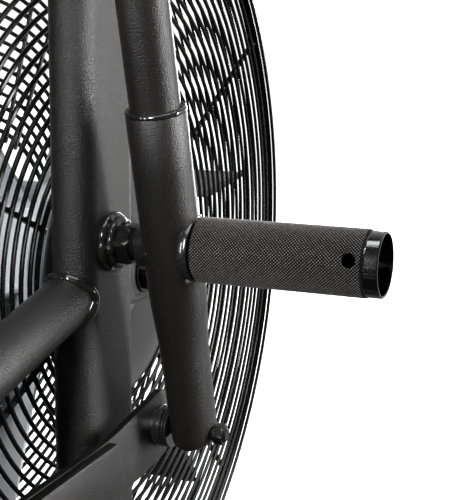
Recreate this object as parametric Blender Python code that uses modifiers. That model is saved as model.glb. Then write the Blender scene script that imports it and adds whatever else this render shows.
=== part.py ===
"""Air bike: a stationary cycle whose pedals and two swinging arms turn a caged fan.

Metres, +Z up, +Y towards the fan, +X the rider's right. The origin is on the floor under the
middle of the machine. Every node is one closed solid; moving pieces sit at their rest position.
"""

import math

import bmesh
import bpy
from mathutils import Matrix, Vector
from mathutils.geometry import interpolate_bezier

# ---- driving dimensions -------------------------------------------------------------------
GAP = 0.0003            # air between neighbouring solids
FACE_X = 0.135          # outer face of each upright
UPRIGHT_WIDTH = 0.037
UPRIGHT_DEPTH = 0.082
UPRIGHT_TOP = 0.905

PIVOT_Y = 0.2805        # axis on which the arms swing and the pegs sit
PIVOT_Z = 0.484
FAN_Y = PIVOT_Y + 0.086
FAN_Z = PIVOT_Z - 0.039
GUARD_RADIUS = 0.3805
GUARD_RIGHT_X = FACE_X - 0.048
GUARD_LEFT_X = FACE_X - 0.185
WIRE = 0.002
HUB_COVER_RADIUS = 0.116

SIDE_TUBE_RADIUS = 0.020
SIDE_TUBE_SLOPE = math.radians(15.5)
CRANK_Y = -0.1295
CRANK_Z = 0.361
CRANK_THROW = 0.045     # radius of the link pin
CRANK_LENGTH = 0.170
LINK_LENGTH = 0.450

ARM_OFFSET = 0.050      # arm centre plane, outboard of the upright's face
ARM_LEAN_RIGHT = math.radians(15.0)
ARM_LEAN_LEFT = math.radians(12.6)
ARM_REACH = 0.160       # pivot to lower bolt
ARM_RADIUS = 0.0218
SLEEVE_TOP = 0.104
HANDLE_RADIUS = 0.0182
HANDLE_STRAIGHT = 0.660
HANDLE_BEND = math.radians(50)
HANDLE_BEND_RADIUS = 0.100
HANDLE_TAIL = 0.150
GRIP_LENGTH = 0.175
HOUSING_RADIUS = 0.0185
HOUSING_RING_RADIUS = 0.0241
AXLE_RADIUS = 0.0110

PEG_RADIUS = 0.02415
PEG_BORE = 0.0213
PEG_ROOT = 0.0723
PEG_KNURL_END = 0.200
PEG_END = 0.2106

FOOT_PAD = 0.012
FOOT_BAR_HEIGHT = 0.050
FOOT_BAR_DEPTH = 0.080
FRONT_BAR_LENGTH = 0.640
REAR_BAR_LENGTH = 0.520
REAR_BAR_Y = -0.660

BELT_X = -0.072
BELT_WIDTH = 0.018
DRIVE_PULLEY_RADIUS = 0.108
FAN_PULLEY_RADIUS = 0.027
BELT_THICKNESS = 0.003

SEAT_LEAN = math.radians(17)
SEAT_FOOT = Vector((0.0, -0.4080, 0.2700))
SEAT_MAST_LENGTH = 0.330
POST_OUT = 0.165        # post showing above the mast at rest

PARTS = bpy.data.collections.new("air_bike")
CUTTERS = bpy.data.collections.new("cutters")

BLACK = (0.020, 0.020, 0.021, 1.0)
SATIN_BLACK = (0.030, 0.030, 0.032, 1.0)
STEEL = (0.55, 0.55, 0.56, 1.0)
GREY = (0.33, 0.35, 0.37, 1.0)
RUBBER = (0.025, 0.025, 0.025, 1.0)
SEAT_BLACK = (0.035, 0.035, 0.036, 1.0)


# ---- helpers ------------------------------------------------------------------------------
def clear_scene():
    for obj in list(bpy.data.objects):
        bpy.data.objects.remove(obj, do_unlink=True)
    for collection in (PARTS, CUTTERS):
        bpy.context.scene.collection.children.link(collection)


def material(name, colour, roughness, metallic):
    made = bpy.data.materials.new(name)
    made.use_nodes = True
    shader = made.node_tree.nodes["Principled BSDF"]
    shader.inputs["Base Color"].default_value = colour
    shader.inputs["Roughness"].default_value = roughness
    shader.inputs["Metallic"].default_value = metallic
    made.diffuse_color = colour
    return made


def add(name, mesh, look=(BLACK, 0.5, 0.0), hidden=False):
    """Puts a mesh in the scene as a part, or as a wire-drawn helper."""
    obj = bpy.data.objects.new(name, mesh)
    mesh.name = name
    if hidden:
        CUTTERS.objects.link(obj)
        obj.hide_render = True
        obj.display_type = "WIRE"
    else:
        PARTS.objects.link(obj)
        mesh.materials.append(material(name, *look))
    mesh.shade_smooth()
    mesh.set_sharp_from_angle(angle=math.radians(35))
    return obj


def mesh_of(build):
    """A mesh from a function that fills a bmesh."""
    bm = bmesh.new()
    build(bm)
    bmesh.ops.recalc_face_normals(bm, faces=bm.faces)
    mesh = bpy.data.meshes.new("shape")
    bm.to_mesh(mesh)
    bm.free()
    return mesh


def along(start, end, spin=0.0):
    """Local Z runs from start to end, local Y as near world Y as it can; the origin is halfway."""
    start, end = Vector(start), Vector(end)
    run = (end - start).normalized()
    guide = Vector((0, 1, 0)) if abs(run.y) < 0.999 else Vector((0, 0, 1))
    depth = (guide - run * guide.dot(run)).normalized()
    width = depth.cross(run)
    turn = Matrix((width, depth, run)).transposed().to_4x4()
    return Matrix.Translation((start + end) / 2) @ turn @ Matrix.Rotation(spin, 4, "Z")


def rod_mesh(start, end, radius, sides=16, end_radius=None, spin=0.0):
    length = (Vector(end) - Vector(start)).length
    top = radius if end_radius is None else end_radius

    def build(bm):
        bmesh.ops.create_cone(
            bm, cap_ends=True, segments=sides, radius1=radius, radius2=top, depth=length,
            matrix=along(start, end, spin),
        )

    return mesh_of(build)


def rod(name, start, end, radius, look=(BLACK, 0.5, 0.0), sides=16, hidden=False, **more):
    return add(name, rod_mesh(start, end, radius, sides, **more), look, hidden)


def box_mesh(centre, size, turn=None, bevel=0.0):
    def build(bm):
        bmesh.ops.create_cube(bm, size=1.0)
        bmesh.ops.scale(bm, vec=Vector(size), verts=bm.verts)
        if bevel:
            bmesh.ops.bevel(
                bm, geom=list(bm.edges), offset=bevel, segments=1, affect="EDGES", profile=0.5
            )
        if turn is not None:
            bmesh.ops.transform(bm, matrix=turn, verts=bm.verts)
        bmesh.ops.translate(bm, vec=Vector(centre), verts=bm.verts)

    return mesh_of(build)


def box(name, centre, size, look=(BLACK, 0.5, 0.0), hidden=False, turn=None, bevel=0.0):
    return add(name, box_mesh(centre, size, turn, bevel), look, hidden)


def obround(name, start, end, width, depth, look=(BLACK, 0.5, 0.0), hidden=False, sides=20):
    """Flat-oval bar: width across local X, depth across local Y, both ends square."""
    length = (Vector(end) - Vector(start)).length
    radius = width / 2 / math.cos(math.pi / sides)

    def build(bm):
        bmesh.ops.create_cone(
            bm, cap_ends=True, segments=sides, radius1=radius, radius2=radius, depth=length,
            matrix=Matrix.Rotation(math.pi / sides, 4, "Z"),
        )
        for vertex in bm.verts:
            vertex.co.y += math.copysign((depth - width) / 2, vertex.co.y)
        bmesh.ops.transform(bm, matrix=along(start, end), verts=bm.verts)

    return add(name, mesh_of(build), look, hidden)


def outline(name, points, thickness, place, look=(BLACK, 0.5, 0.0), hidden=False):
    """Flat plate from a closed outline in local XY, extruded along local Z and centred on it."""
    curve = bpy.data.curves.new(name, "CURVE")
    curve.dimensions = "2D"
    curve.fill_mode = "BOTH"
    curve.extrude = thickness / 2
    spline = curve.splines.new("POLY")
    spline.points.add(len(points) - 1)
    for point, (x, y) in zip(spline.points, points):
        point.co = (x, y, 0.0, 1.0)
    spline.use_cyclic_u = True
    return solid_from_curve(name, curve, place, look, hidden)


def tube_path(name, points, radius, look=(BLACK, 0.5, 0.0), hidden=False, resolution=2):
    curve = bpy.data.curves.new(name, "CURVE")
    curve.dimensions = "3D"
    curve.bevel_depth = radius
    curve.bevel_resolution = resolution
    curve.use_fill_caps = True
    spline = curve.splines.new("POLY")
    spline.points.add(len(points) - 1)
    for point, place in zip(spline.points, points):
        point.co = (*place, 1.0)
    return solid_from_curve(name, curve, Matrix.Identity(4), look, hidden)


def solid_from_curve(name, curve, place, look, hidden):
    guide = bpy.data.objects.new(name + "_guide", curve)
    CUTTERS.objects.link(guide)
    guide.matrix_world = place
    bpy.context.view_layer.update()
    graph = bpy.context.evaluated_depsgraph_get()
    mesh = bpy.data.meshes.new_from_object(guide.evaluated_get(graph))
    bm = bmesh.new()
    bm.from_mesh(mesh)
    bmesh.ops.remove_doubles(bm, verts=bm.verts, dist=0.00002)
    bmesh.ops.transform(bm, matrix=place, verts=bm.verts)
    bmesh.ops.recalc_face_normals(bm, faces=bm.faces)
    bm.to_mesh(mesh)
    bm.free()
    mesh.materials.clear()
    bpy.data.objects.remove(guide, do_unlink=True)
    bpy.data.curves.remove(curve)
    return add(name, mesh, look, hidden)


def turned(name, profile, place, look=(BLACK, 0.5, 0.0), sides=24, hidden=False):
    """Solid of revolution: the profile is (radius, height) pairs, down its outer side."""
    mesh = bpy.data.meshes.new(name)
    mesh.from_pydata([(r, 0.0, z) for r, z in profile], ring_edges(profile), [])
    obj = add(name, mesh, look, hidden)
    obj.matrix_world = place
    screw = obj.modifiers.new("turn", "SCREW")
    screw.steps = sides
    screw.render_steps = sides
    screw.use_merge_vertices = True
    screw.merge_threshold = 0.00005
    screw.use_smooth_shade = True
    return obj


def ring_edges(profile):
    on_axis = profile[0][0] == 0 and profile[-1][0] == 0
    count = len(profile)
    edges = [(i, i + 1) for i in range(count - 1)]
    return edges if on_axis else edges + [(count - 1, 0)]


def boolean(target, other, operation):
    step = target.modifiers.new(operation.lower(), "BOOLEAN")
    step.operation = operation
    step.solver = "EXACT"
    step.object = other


def join(target, *others):
    for other in others:
        boolean(target, other, "UNION")


def cut(target, *others):
    for other in others:
        boolean(target, other, "DIFFERENCE")


def to_right(x_out, y, z, side=1):
    """A point given outboard of the upright's face, on the right (side 1) or left (side -1)."""
    return Vector((side * (FACE_X + x_out), y, z))


def x_axis(side=1):
    """Turns local Z to world X, outwards on the given side."""
    return Matrix.Rotation(side * math.pi / 2, 4, "Y")


def arc(centre, radius, start, end, count):
    step = (end - start) / count
    return [
        (centre[0] + radius * math.cos(start + i * step), centre[1] + radius * math.sin(start + i * step))
        for i in range(count + 1)
    ]


def around_two_circles(first, radius1, second, radius2, count=10):
    """Outline of the hull of two circles, as points in their plane."""
    gap = Vector(second) - Vector(first)
    heading = math.atan2(gap.y, gap.x)
    spread = math.acos((radius1 - radius2) / gap.length)
    far = arc(second, radius2, heading - spread, heading + spread, count)
    near = arc(first, radius1, heading + spread, heading - spread + 2 * math.pi, count)
    return far + near


# ---- fixed frame --------------------------------------------------------------------------
PAINT = (BLACK, 0.45, 0.0)


def side_name(side):
    return "right" if side > 0 else "left"


def make_foot_bar(name, y, length):
    z = FOOT_PAD + GAP + FOOT_BAR_HEIGHT / 2
    half = length / 2
    bar = obround(name, (-half, y, z), (half, y, z), FOOT_BAR_HEIGHT, FOOT_BAR_DEPTH, PAINT)
    for side in (1, -1):
        x = side * (half - 0.045)
        end = "front" if y > 0 else "rear"
        pad = [(0.0, FOOT_PAD), (0.020, FOOT_PAD), (0.026, 0.004), (0.026, 0.0), (0.0, 0.0)]
        turned(
            f"foot_pad_{end}_{side_name(side)}", pad, Matrix.Translation((x, y, 0.0)),
            (RUBBER, 0.8, 0.0), sides=20,
        )
    return bar


def make_front_bar_lugs(bar, y):
    """Plates and pins at the front of the bar that carry the two transport wheels."""
    wheel_y, wheel_z = y + 0.078, 0.046
    for side in (1, -1):
        x = side * 0.235
        lug = box(
            f"lug_{side_name(side)}", (x, y + 0.056, wheel_z), (0.008, 0.064, 0.030), hidden=True
        )
        pin = rod(
            f"lug_pin_{side_name(side)}", (x, wheel_y, wheel_z), (x + side * 0.0345, wheel_y, wheel_z),
            0.005, hidden=True,
        )
        head = rod(
            f"lug_head_{side_name(side)}", (x + side * 0.0325, wheel_y, wheel_z),
            (x + side * 0.0365, wheel_y, wheel_z), 0.009, hidden=True,
        )
        join(bar, lug, pin, head)
        make_wheel(side, x + side * 0.0182, wheel_y, wheel_z)


def make_wheel(side, x, y, z):
    half = 0.0130
    profile = [
        (0.034, half - 0.004), (0.036, half - 0.007), (0.036, 0.007 - half), (0.034, 0.004 - half),
        (0.012, 0.004 - half), (0.010, -half), (0.0054, -half), (0.0054, half), (0.010, half),
        (0.012, half - 0.004),
    ]
    place = Matrix.Translation((x, y, z)) @ x_axis(side)
    turned(f"transport_wheel_{side_name(side)}", profile, place, (RUBBER, 0.7, 0.0), sides=18)


def make_upright(side):
    name = side_name(side)
    x = side * (FACE_X - UPRIGHT_WIDTH / 2)
    y = PIVOT_Y + 0.002
    low = FOOT_PAD + 2 * GAP + FOOT_BAR_HEIGHT
    upright = obround(
        f"upright_{name}", (x, y, low), (x, y, UPRIGHT_TOP), UPRIGHT_WIDTH, UPRIGHT_DEPTH, PAINT
    )
    reach = FAN_Y + 0.024 - PIVOT_Y
    dropout = box(
        f"dropout_{name}", (side * 0.115, PIVOT_Y + 0.030 + (reach - 0.030) / 2, FAN_Z),
        (0.006, reach - 0.030, 0.048), hidden=True,
    )
    join(upright, dropout)
    cut(upright, rod(f"dropout_bore_{name}", (side * 0.10, FAN_Y, FAN_Z), (side * 0.13, FAN_Y, FAN_Z),
                     0.0088, hidden=True))
    return upright


def side_tube_point(y):
    """Height of the side tube's centre line at a given Y."""
    return PIVOT_Z - 0.0485 - (PIVOT_Y - 0.0617 - y) * math.tan(SIDE_TUBE_SLOPE)


def make_side_tube(side):
    name = side_name(side)
    x = side * (FACE_X - 0.020)
    front_y = PIVOT_Y - 0.020
    rear_y = CRANK_Y + 0.010
    tube = rod(
        f"side_tube_{name}", (x, front_y, side_tube_point(front_y)), (x, rear_y, side_tube_point(rear_y)),
        SIDE_TUBE_RADIUS, PAINT, sides=20,
    )
    cut(tube, clearance_of_upright(side), clearance_of_shell(side, name))
    return tube


def clearance_of_upright(side):
    """The upright's outline grown by the gap, so that a tube's end can be coped to it."""
    name = f"upright_cope_{side_name(side)}"
    if name in bpy.data.objects:
        return bpy.data.objects[name]
    x = side * (FACE_X - UPRIGHT_WIDTH / 2)
    y = PIVOT_Y + 0.002
    return obround(name, (x, y, 0.05), (x, y, 0.9), UPRIGHT_WIDTH + 2 * GAP,
                   UPRIGHT_DEPTH + 2 * GAP, hidden=True)


def clearance_of_shell(side, name):
    key = f"shell_cope_{name}"
    if key in bpy.data.objects:
        return bpy.data.objects[key]
    return rod(key, (side * 0.02, CRANK_Y, CRANK_Z), (side * 0.15, CRANK_Y, CRANK_Z),
               0.030 + GAP, sides=24, hidden=True)


def make_lower_tube(side):
    """Runs beside the cage from the upright's foot, then bends inwards to the beam."""
    name = side_name(side)
    outer = side * (FACE_X - 0.020)
    front = Vector((outer, PIVOT_Y - 0.018, 0.130))
    bend = Vector((outer, 0.050, 0.164))
    end = Vector((side * 0.034, -0.275, 0.246))
    turn = bend + (end - bend) * 0.25
    before = bend + (front - bend) * 0.30
    points = [front] + interpolate_bezier(before, bend, bend, turn, 7) + [end]
    tube = tube_path(f"lower_tube_{name}", points, 0.019, PAINT, resolution=3)
    cut(tube, clearance_of_upright(side), clearance_of_beam())
    return tube


def clearance_of_beam():
    name = "beam_cope"
    if name in bpy.data.objects:
        return bpy.data.objects[name]
    start, end = beam_ends()
    return obround(name, start, end, 0.050 + 2 * GAP, 0.090 + 2 * GAP, hidden=True)


def beam_ends():
    return Vector((0.0, CRANK_Y - 0.020, CRANK_Z - 0.014)), Vector((0.0, REAR_BAR_Y + 0.020, 0.075))


def make_beam():
    start, end = beam_ends()
    beam = obround("rear_beam", start, end, 0.050, 0.090, PAINT)
    rear_gap = obround(
        "rear_bar_cope", (-0.2, REAR_BAR_Y, FOOT_PAD + GAP + FOOT_BAR_HEIGHT / 2),
        (0.2, REAR_BAR_Y, FOOT_PAD + GAP + FOOT_BAR_HEIGHT / 2),
        FOOT_BAR_HEIGHT + 2 * GAP, FOOT_BAR_DEPTH + 2 * GAP, hidden=True,
    )
    cut(beam, clearance_of_shell(1, "beam"), shell_cope_left_part(), rear_gap)
    return beam


def shell_cope_left_part():
    return rod("shell_cope_middle", (-0.06, CRANK_Y, CRANK_Z), (0.03, CRANK_Y, CRANK_Z),
               0.030 + GAP, sides=24, hidden=True)


def make_crank_housings():
    """Two short tubes that hold the crank spindle's bearings."""
    for name, low, high in (("crank_shell", -0.045, 0.134), ("crank_bearing_left", -0.134, -0.098)):
        shell = rod(name, (low, CRANK_Y, CRANK_Z), (high, CRANK_Y, CRANK_Z), 0.030, PAINT, sides=24)
        bore = rod(
            name + "_bore", (low - 0.01, CRANK_Y, CRANK_Z), (high + 0.01, CRANK_Y, CRANK_Z),
            0.0116, sides=20, hidden=True,
        )
        cut(shell, bore)


CONSOLE_SIZE = Vector((0.205, 0.044, 0.150))
CONSOLE_AT = Vector((0.0, PIVOT_Y - 0.088, 1.170))
CONSOLE_TILT = Matrix.Rotation(math.radians(-28), 4, "X")


def make_bridge():
    """Cross tube between the uprights' tops, with the console's mast standing on it."""
    y, z = PIVOT_Y + 0.002, 0.868
    inner = FACE_X - UPRIGHT_WIDTH - GAP
    bridge = obround("top_bridge", (-inner, y, z), (inner, y, z), 0.044, 0.060, PAINT)
    mast = rod("console_mast", (0, y, z), (0, y - 0.080, 1.150), 0.017, sides=20, hidden=True)
    room = box("console_cope", CONSOLE_AT, CONSOLE_SIZE + Vector((1, 1, 1)) * 2 * GAP, hidden=True,
               turn=CONSOLE_TILT)
    join(bridge, mast)
    cut(bridge, room)
    return bridge


def make_seat_mast():
    top = SEAT_FOOT + seat_axis() * SEAT_MAST_LENGTH
    mast = obround("seat_mast", SEAT_FOOT - seat_axis() * 0.05, top, 0.052, 0.066, PAINT)
    bore = obround("seat_mast_bore", SEAT_FOOT + seat_axis() * 0.012, top + seat_axis() * 0.02,
                   0.0408, 0.0548, hidden=True)
    cut(mast, clearance_of_beam(), bore)
    pin_at = SEAT_FOOT + seat_axis() * (SEAT_MAST_LENGTH - 0.035)
    front = seat_front()
    boss = rod("seat_pin_boss", pin_at + front * 0.030, pin_at + front * 0.045, 0.011, hidden=True)
    hole = rod("seat_pin_hole", pin_at + front * 0.020, pin_at + front * 0.060, 0.0054, hidden=True)
    join(mast, boss)
    cut(mast, hole)
    profile = [
        (0.0, 0.050), (0.016, 0.050), (0.019, 0.046), (0.019, 0.030), (0.012, 0.022), (0.005, 0.022),
        (0.005, 0.0), (0.0, 0.0),
    ]
    place = Matrix.Translation(pin_at + front * 0.0279) @ front.to_track_quat("Z", "Y").to_matrix().to_4x4()
    turned("seat_pin", profile, place, (SATIN_BLACK, 0.5, 0.0), sides=20)
    return mast


def seat_axis():
    return Vector((0.0, -math.sin(SEAT_LEAN), math.cos(SEAT_LEAN)))


def seat_front():
    return Vector((0.0, math.cos(SEAT_LEAN), math.sin(SEAT_LEAN)))


def make_rear_handle():
    z = FOOT_PAD + GAP + FOOT_BAR_HEIGHT / 2
    start = REAR_BAR_Y - FOOT_BAR_DEPTH / 2 - GAP
    far = -0.7420
    corner = 0.018
    centre = (0.075 - corner, far + corner)
    bend = [(x, y, z) for x, y in arc(centre, corner, 0.0, -math.pi / 2, 4)]
    right = [(0.075, start, z)] + bend
    left = [(-x, y, z) for x, y, _ in reversed(right)]
    return tube_path("rear_handle", right + left, 0.008, PAINT, resolution=1)


# ---- console ------------------------------------------------------------------------------
def make_console():
    tilt, centre = CONSOLE_TILT, CONSOLE_AT
    body = box("console", centre, CONSOLE_SIZE, (SATIN_BLACK, 0.5, 0.0), turn=tilt, bevel=0.010)
    screen = box(
        "screen_recess", centre + tilt @ Vector((0, -0.023, 0.018)), (0.150, 0.010, 0.078),
        hidden=True, turn=tilt,
    )
    cut(body, screen)
    facing = tilt @ Vector((0, -1, 0))
    aim = facing.to_track_quat("Z", "Y").to_matrix().to_4x4()
    for number, x in enumerate((-0.055, 0.0, 0.055), 1):
        face = centre + tilt @ Vector((x, -0.022, -0.046))
        well = rod(f"button_well_{number}", face - facing * 0.006, face + facing * 0.01, 0.0125,
                   sides=20, hidden=True)
        cut(body, well)
        cap = [(0.0, 0.0026), (0.0100, 0.0026), (0.0118, 0.0010), (0.0118, -0.0040), (0.0, -0.0040)]
        turned(f"console_button_{number}", cap, Matrix.Translation(face) @ aim, (GREY, 0.5, 0.0), sides=20)
    return body


# ---- fan, guard and drive -----------------------------------------------------------------
def fan_point(x, radius, angle):
    return Vector((x, FAN_Y + radius * math.cos(angle), FAN_Z + radius * math.sin(angle)))


def fan_ring(name, x, radius, wire, sides=28, around=4):
    bpy.ops.mesh.primitive_torus_add(
        major_radius=radius, minor_radius=wire, major_segments=sides, minor_segments=around
    )
    made = bpy.context.object
    mesh = made.data
    bpy.data.objects.remove(made, do_unlink=True)
    off_spokes = Matrix.Rotation(math.radians(3), 4, "Z")
    mesh.transform(Matrix.Translation((x, FAN_Y, FAN_Z)) @ x_axis() @ off_spokes)
    return add(name, mesh, hidden=True)


GUARD_SPOKES = 8
GUARD_RING_RADII = (0.2950, 0.2050)


def make_guard_face(side_x, name, hub_radius):
    """One face of the cage: a few of its rings, joined by spokes that lie just inside them."""
    inward = -1 if side_x > 0 else 1
    hub = turned(
        name, [(hub_radius, 0.0018), (hub_radius, -0.0018), (hub_radius - 0.014, -0.0018),
               (hub_radius - 0.014, 0.0018)],
        Matrix.Translation((side_x, FAN_Y, FAN_Z)) @ x_axis(), PAINT, sides=24,
    )
    pieces = [fan_ring(name + "_rim", side_x + (0.0030 if side_x > 0 else 0.0), GUARD_RADIUS, 0.0035, 40, 4)]
    for number, radius in enumerate(GUARD_RING_RADII):
        pieces.append(fan_ring(f"{name}_ring_{number}", side_x, radius, 0.0028))
    for number in range(GUARD_SPOKES):
        angle = math.tau * (number + 0.5) / GUARD_SPOKES
        pieces.append(
            rod(f"{name}_spoke_{number}", fan_point(side_x + inward * 0.0006, hub_radius - 0.007, angle),
                fan_point(side_x + inward * 0.0006, GUARD_RADIUS, angle), 0.0030, sides=5, hidden=True)
        )
    join(hub, *pieces)
    return hub


def make_guard_band():
    """Middle hoop of the cage and the cross wires that tie its two faces."""
    middle = (GUARD_RIGHT_X + GUARD_LEFT_X) / 2
    hoop = fan_ring("guard_hoop", middle, GUARD_RADIUS, 0.0030, 40, 4)
    band = add("guard_band", hoop.data.copy(), PAINT)
    bpy.data.objects.remove(hoop, do_unlink=True)
    ends = (GUARD_LEFT_X + 0.0035 + GAP, GUARD_RIGHT_X - 0.0035 - GAP)
    for number in range(GUARD_SPOKES):
        angle = math.tau * (number + 0.5) / GUARD_SPOKES
        join(band, rod(f"guard_cross_{number}", fan_point(ends[0], GUARD_RADIUS, angle),
                       fan_point(ends[1], GUARD_RADIUS, angle), 0.0032, sides=5, hidden=True))
    return band


def make_hub_cover():
    """Shallow plate over the middle of the right face, with a hole for the axle."""
    profile = [
        (0.0200, 0.0022), (0.1120, 0.0022), (HUB_COVER_RADIUS, 0.0), (HUB_COVER_RADIUS, -0.0002),
        (0.0200, -0.0002),
    ]
    place = Matrix.Translation((GUARD_RIGHT_X + 0.0032, FAN_Y, FAN_Z)) @ x_axis()
    return turned("hub_cover", profile, place, (GREY, 0.6, 0.0), sides=28)


FAN_BLADES = 6
BLADE_PHASE = math.radians(8.5)
ROTOR_MIDDLE = (GUARD_RIGHT_X + GUARD_LEFT_X) / 2


def make_fan():
    profile = [
        (0.0300, 0.0400), (0.0700, 0.0300), (0.0700, -0.0300), (0.0300, -0.0400),
        (0.0180, -0.0400), (0.0180, BELT_X + BELT_WIDTH / 2 + 0.0015 - ROTOR_MIDDLE),
        (0.0088, BELT_X + BELT_WIDTH / 2 + 0.0015 - ROTOR_MIDDLE), (0.0088, 0.0560),
        (0.0180, 0.0560), (0.0180, 0.0400),
    ]
    rotor = turned(
        "fan_rotor", profile, Matrix.Translation((ROTOR_MIDDLE, FAN_Y, FAN_Z)) @ x_axis(),
        (GREY, 0.4, 0.6), sides=16,
    )
    for number in range(FAN_BLADES):
        angle = math.tau * number / FAN_BLADES + BLADE_PHASE
        turn = Matrix.Rotation(angle, 4, "X")
        arm = box_mesh(
            fan_point(ROTOR_MIDDLE, 0.160, angle), (0.030, 0.200, 0.004), turn=turn,
        )
        paddle = box_mesh(
            fan_point(ROTOR_MIDDLE, 0.300, angle), (0.100, 0.110, 0.003), turn=turn,
        )
        join(rotor, add(f"fan_arm_{number}", arm, hidden=True), add(f"fan_paddle_{number}", paddle, hidden=True))
    return rotor


def make_fan_axle():
    axle = rod("fan_axle", (-0.1285, FAN_Y, FAN_Z), (0.1285, FAN_Y, FAN_Z), 0.0085, (STEEL, 0.3, 1.0))
    for side in (1, -1):
        nut = rod(f"fan_nut_{side_name(side)}", (side * 0.1183, FAN_Y, FAN_Z),
                  (side * 0.1265, FAN_Y, FAN_Z), 0.0145, sides=6, hidden=True)
        collar = rod(f"fan_collar_{side_name(side)}", (side * 0.0960, FAN_Y, FAN_Z),
                     (side * 0.1117, FAN_Y, FAN_Z), 0.0120, hidden=True)
        join(axle, nut, collar)
    return axle


def pulley(name, y, z, radius, bore, look):
    half = BELT_WIDTH / 2
    profile = [
        (radius + 0.005, half + 0.001), (radius + 0.005, half), (radius, half), (radius, -half),
        (radius + 0.005, -half), (radius + 0.005, -half - 0.001), (bore, -half - 0.001),
        (bore, half + 0.001),
    ]
    place = Matrix.Translation((BELT_X, y, z)) @ x_axis()
    return turned(name, profile, place, look, sides=28 if radius > 0.05 else 16)


def make_belt():
    crank, fan = (CRANK_Y, CRANK_Z), (FAN_Y, FAN_Z)
    place = Matrix(((0, 0, 1, BELT_X), (1, 0, 0, 0), (0, 1, 0, 0), (0, 0, 0, 1)))
    play = 0.0016
    width = BELT_WIDTH - 0.002
    belt = outline(
        "drive_belt", around_two_circles(crank, DRIVE_PULLEY_RADIUS + play + BELT_THICKNESS, fan,
                                         FAN_PULLEY_RADIUS + play + BELT_THICKNESS, 12),
        width, place, (RUBBER, 0.7, 0.0),
    )
    inside = outline(
        "belt_inside", around_two_circles(crank, DRIVE_PULLEY_RADIUS + play, fan,
                                          FAN_PULLEY_RADIUS + play, 12),
        width + 0.02, place, hidden=True,
    )
    cut(belt, inside)
    return belt


def make_belt_cover():
    """Inner plate and outer pan that shut the belt in, open only where the shafts pass."""
    crank, fan = (CRANK_Y, CRANK_Z), (FAN_Y, FAN_Z)
    rim1, rim2 = 0.127, 0.048

    def sheet(name, x, thickness, shrink=0.0, hidden=False, look=PAINT):
        place = Matrix(((0, 0, 1, x), (1, 0, 0, 0), (0, 1, 0, 0), (0, 0, 0, 1)))
        points = around_two_circles(crank, rim1 - shrink, fan, rim2 - shrink, 14)
        return outline(name, points, thickness, place, look, hidden)

    plate = sheet("belt_cover_inner", -0.05525, 0.0015)
    pan = sheet("belt_cover_outer", (-0.0925 - 0.0563) / 2, 0.0925 - 0.0563)
    hollow = sheet("belt_cover_hollow", (-0.0910 - 0.05) / 2, 0.0410, shrink=0.0025, hidden=True)
    cut(pan, hollow)
    for name, y, z, radius in (("crank", CRANK_Y, CRANK_Z, 0.0165), ("fan", FAN_Y, FAN_Z, 0.0215)):
        hole = rod(f"belt_cover_{name}_hole", (-0.12, y, z), (-0.04, y, z), radius, sides=20, hidden=True)
        cut(plate, hole)
        cut(pan, hole)


# ---- crank, pedals and links --------------------------------------------------------------
def pin_offset(side):
    """The link pins sit opposite each other: the right one below the crank axis."""
    return Vector((0.0, 0.0, -side * CRANK_THROW))


def make_spindle():
    axis = Vector((0.0, CRANK_Y, CRANK_Z))
    spindle = rod("crank_spindle", axis + Vector((-0.1366, 0, 0)), axis + Vector((0.1366, 0, 0)),
                  0.0110, (STEEL, 0.3, 1.0), sides=20)
    return spindle


def make_crank(side):
    """Inner web, link pin and outer crank arm, as one forged piece, with the pedal's axle."""
    name = side_name(side)
    axis = Vector((0.0, CRANK_Y, CRANK_Z))
    pin = axis + pin_offset(side)
    down = pin_offset(side).normalized()
    turn = Matrix.Rotation(0.0 if side > 0 else math.pi, 4, "X")
    web_points = around_two_circles((0.0, 0.0), 0.026, (0.0, -CRANK_THROW), 0.019, 8)
    arm_points = around_two_circles((0.0, -CRANK_THROW), 0.019, (0.0, -CRANK_LENGTH), 0.015, 8)
    stand = Matrix(((0, 0, 1, 0), (1, 0, 0, CRANK_Y), (0, 1, 0, CRANK_Z), (0, 0, 0, 1)))

    def plate(label, points, x, thickness, hidden):
        spun = [(turn @ Vector((0, y, z)))[1:] for y, z in points]
        return outline(label, spun, thickness, Matrix.Translation((side * x, 0, 0)) @ stand,
                       (SATIN_BLACK, 0.4, 0.3), hidden)

    crank = plate(f"crank_{name}", arm_points, 0.1711, 0.0150, False)
    web = plate(f"crank_web_{name}", web_points, 0.1416, 0.0090, True)
    shaft = rod(f"crank_pin_{name}", pin + Vector((side * 0.140, 0, 0)), pin + Vector((side * 0.166, 0, 0)),
                0.0100, sides=20, hidden=True)
    tip = axis + down * CRANK_LENGTH
    axle = rod(f"pedal_axle_{name}", tip + Vector((side * 0.170, 0, 0)), tip + Vector((side * 0.2700, 0, 0)),
               0.0060, hidden=True)
    head = rod(f"pedal_head_{name}", tip + Vector((side * 0.2680, 0, 0)), tip + Vector((side * 0.2730, 0, 0)),
               0.0095, hidden=True)
    join(crank, web, shaft, axle, head)
    make_pedal(side, tip)
    return crank


def make_pedal(side, tip):
    name = side_name(side)
    centre = tip + Vector((side * 0.2245, 0, 0))
    pedal = box(f"pedal_{name}", centre, (0.0850, 0.098, 0.024), (SATIN_BLACK, 0.6, 0.0), bevel=0.004)
    bore = rod(f"pedal_bore_{name}", centre - Vector((0.06, 0, 0)), centre + Vector((0.06, 0, 0)),
               0.0064, hidden=True)
    for end in (1, -1):
        window = box(f"pedal_window_{name}_{end}", centre + Vector((0, end * 0.027, 0)),
                     (0.060, 0.026, 0.05), hidden=True)
        cut(pedal, window)
    cut(pedal, bore)
    return pedal


def lower_bolt(side):
    lean = ARM_LEAN_RIGHT if side > 0 else ARM_LEAN_LEFT
    return Vector((0.0, PIVOT_Y + ARM_REACH * math.sin(lean), PIVOT_Z - ARM_REACH * math.cos(lean)))


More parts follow.
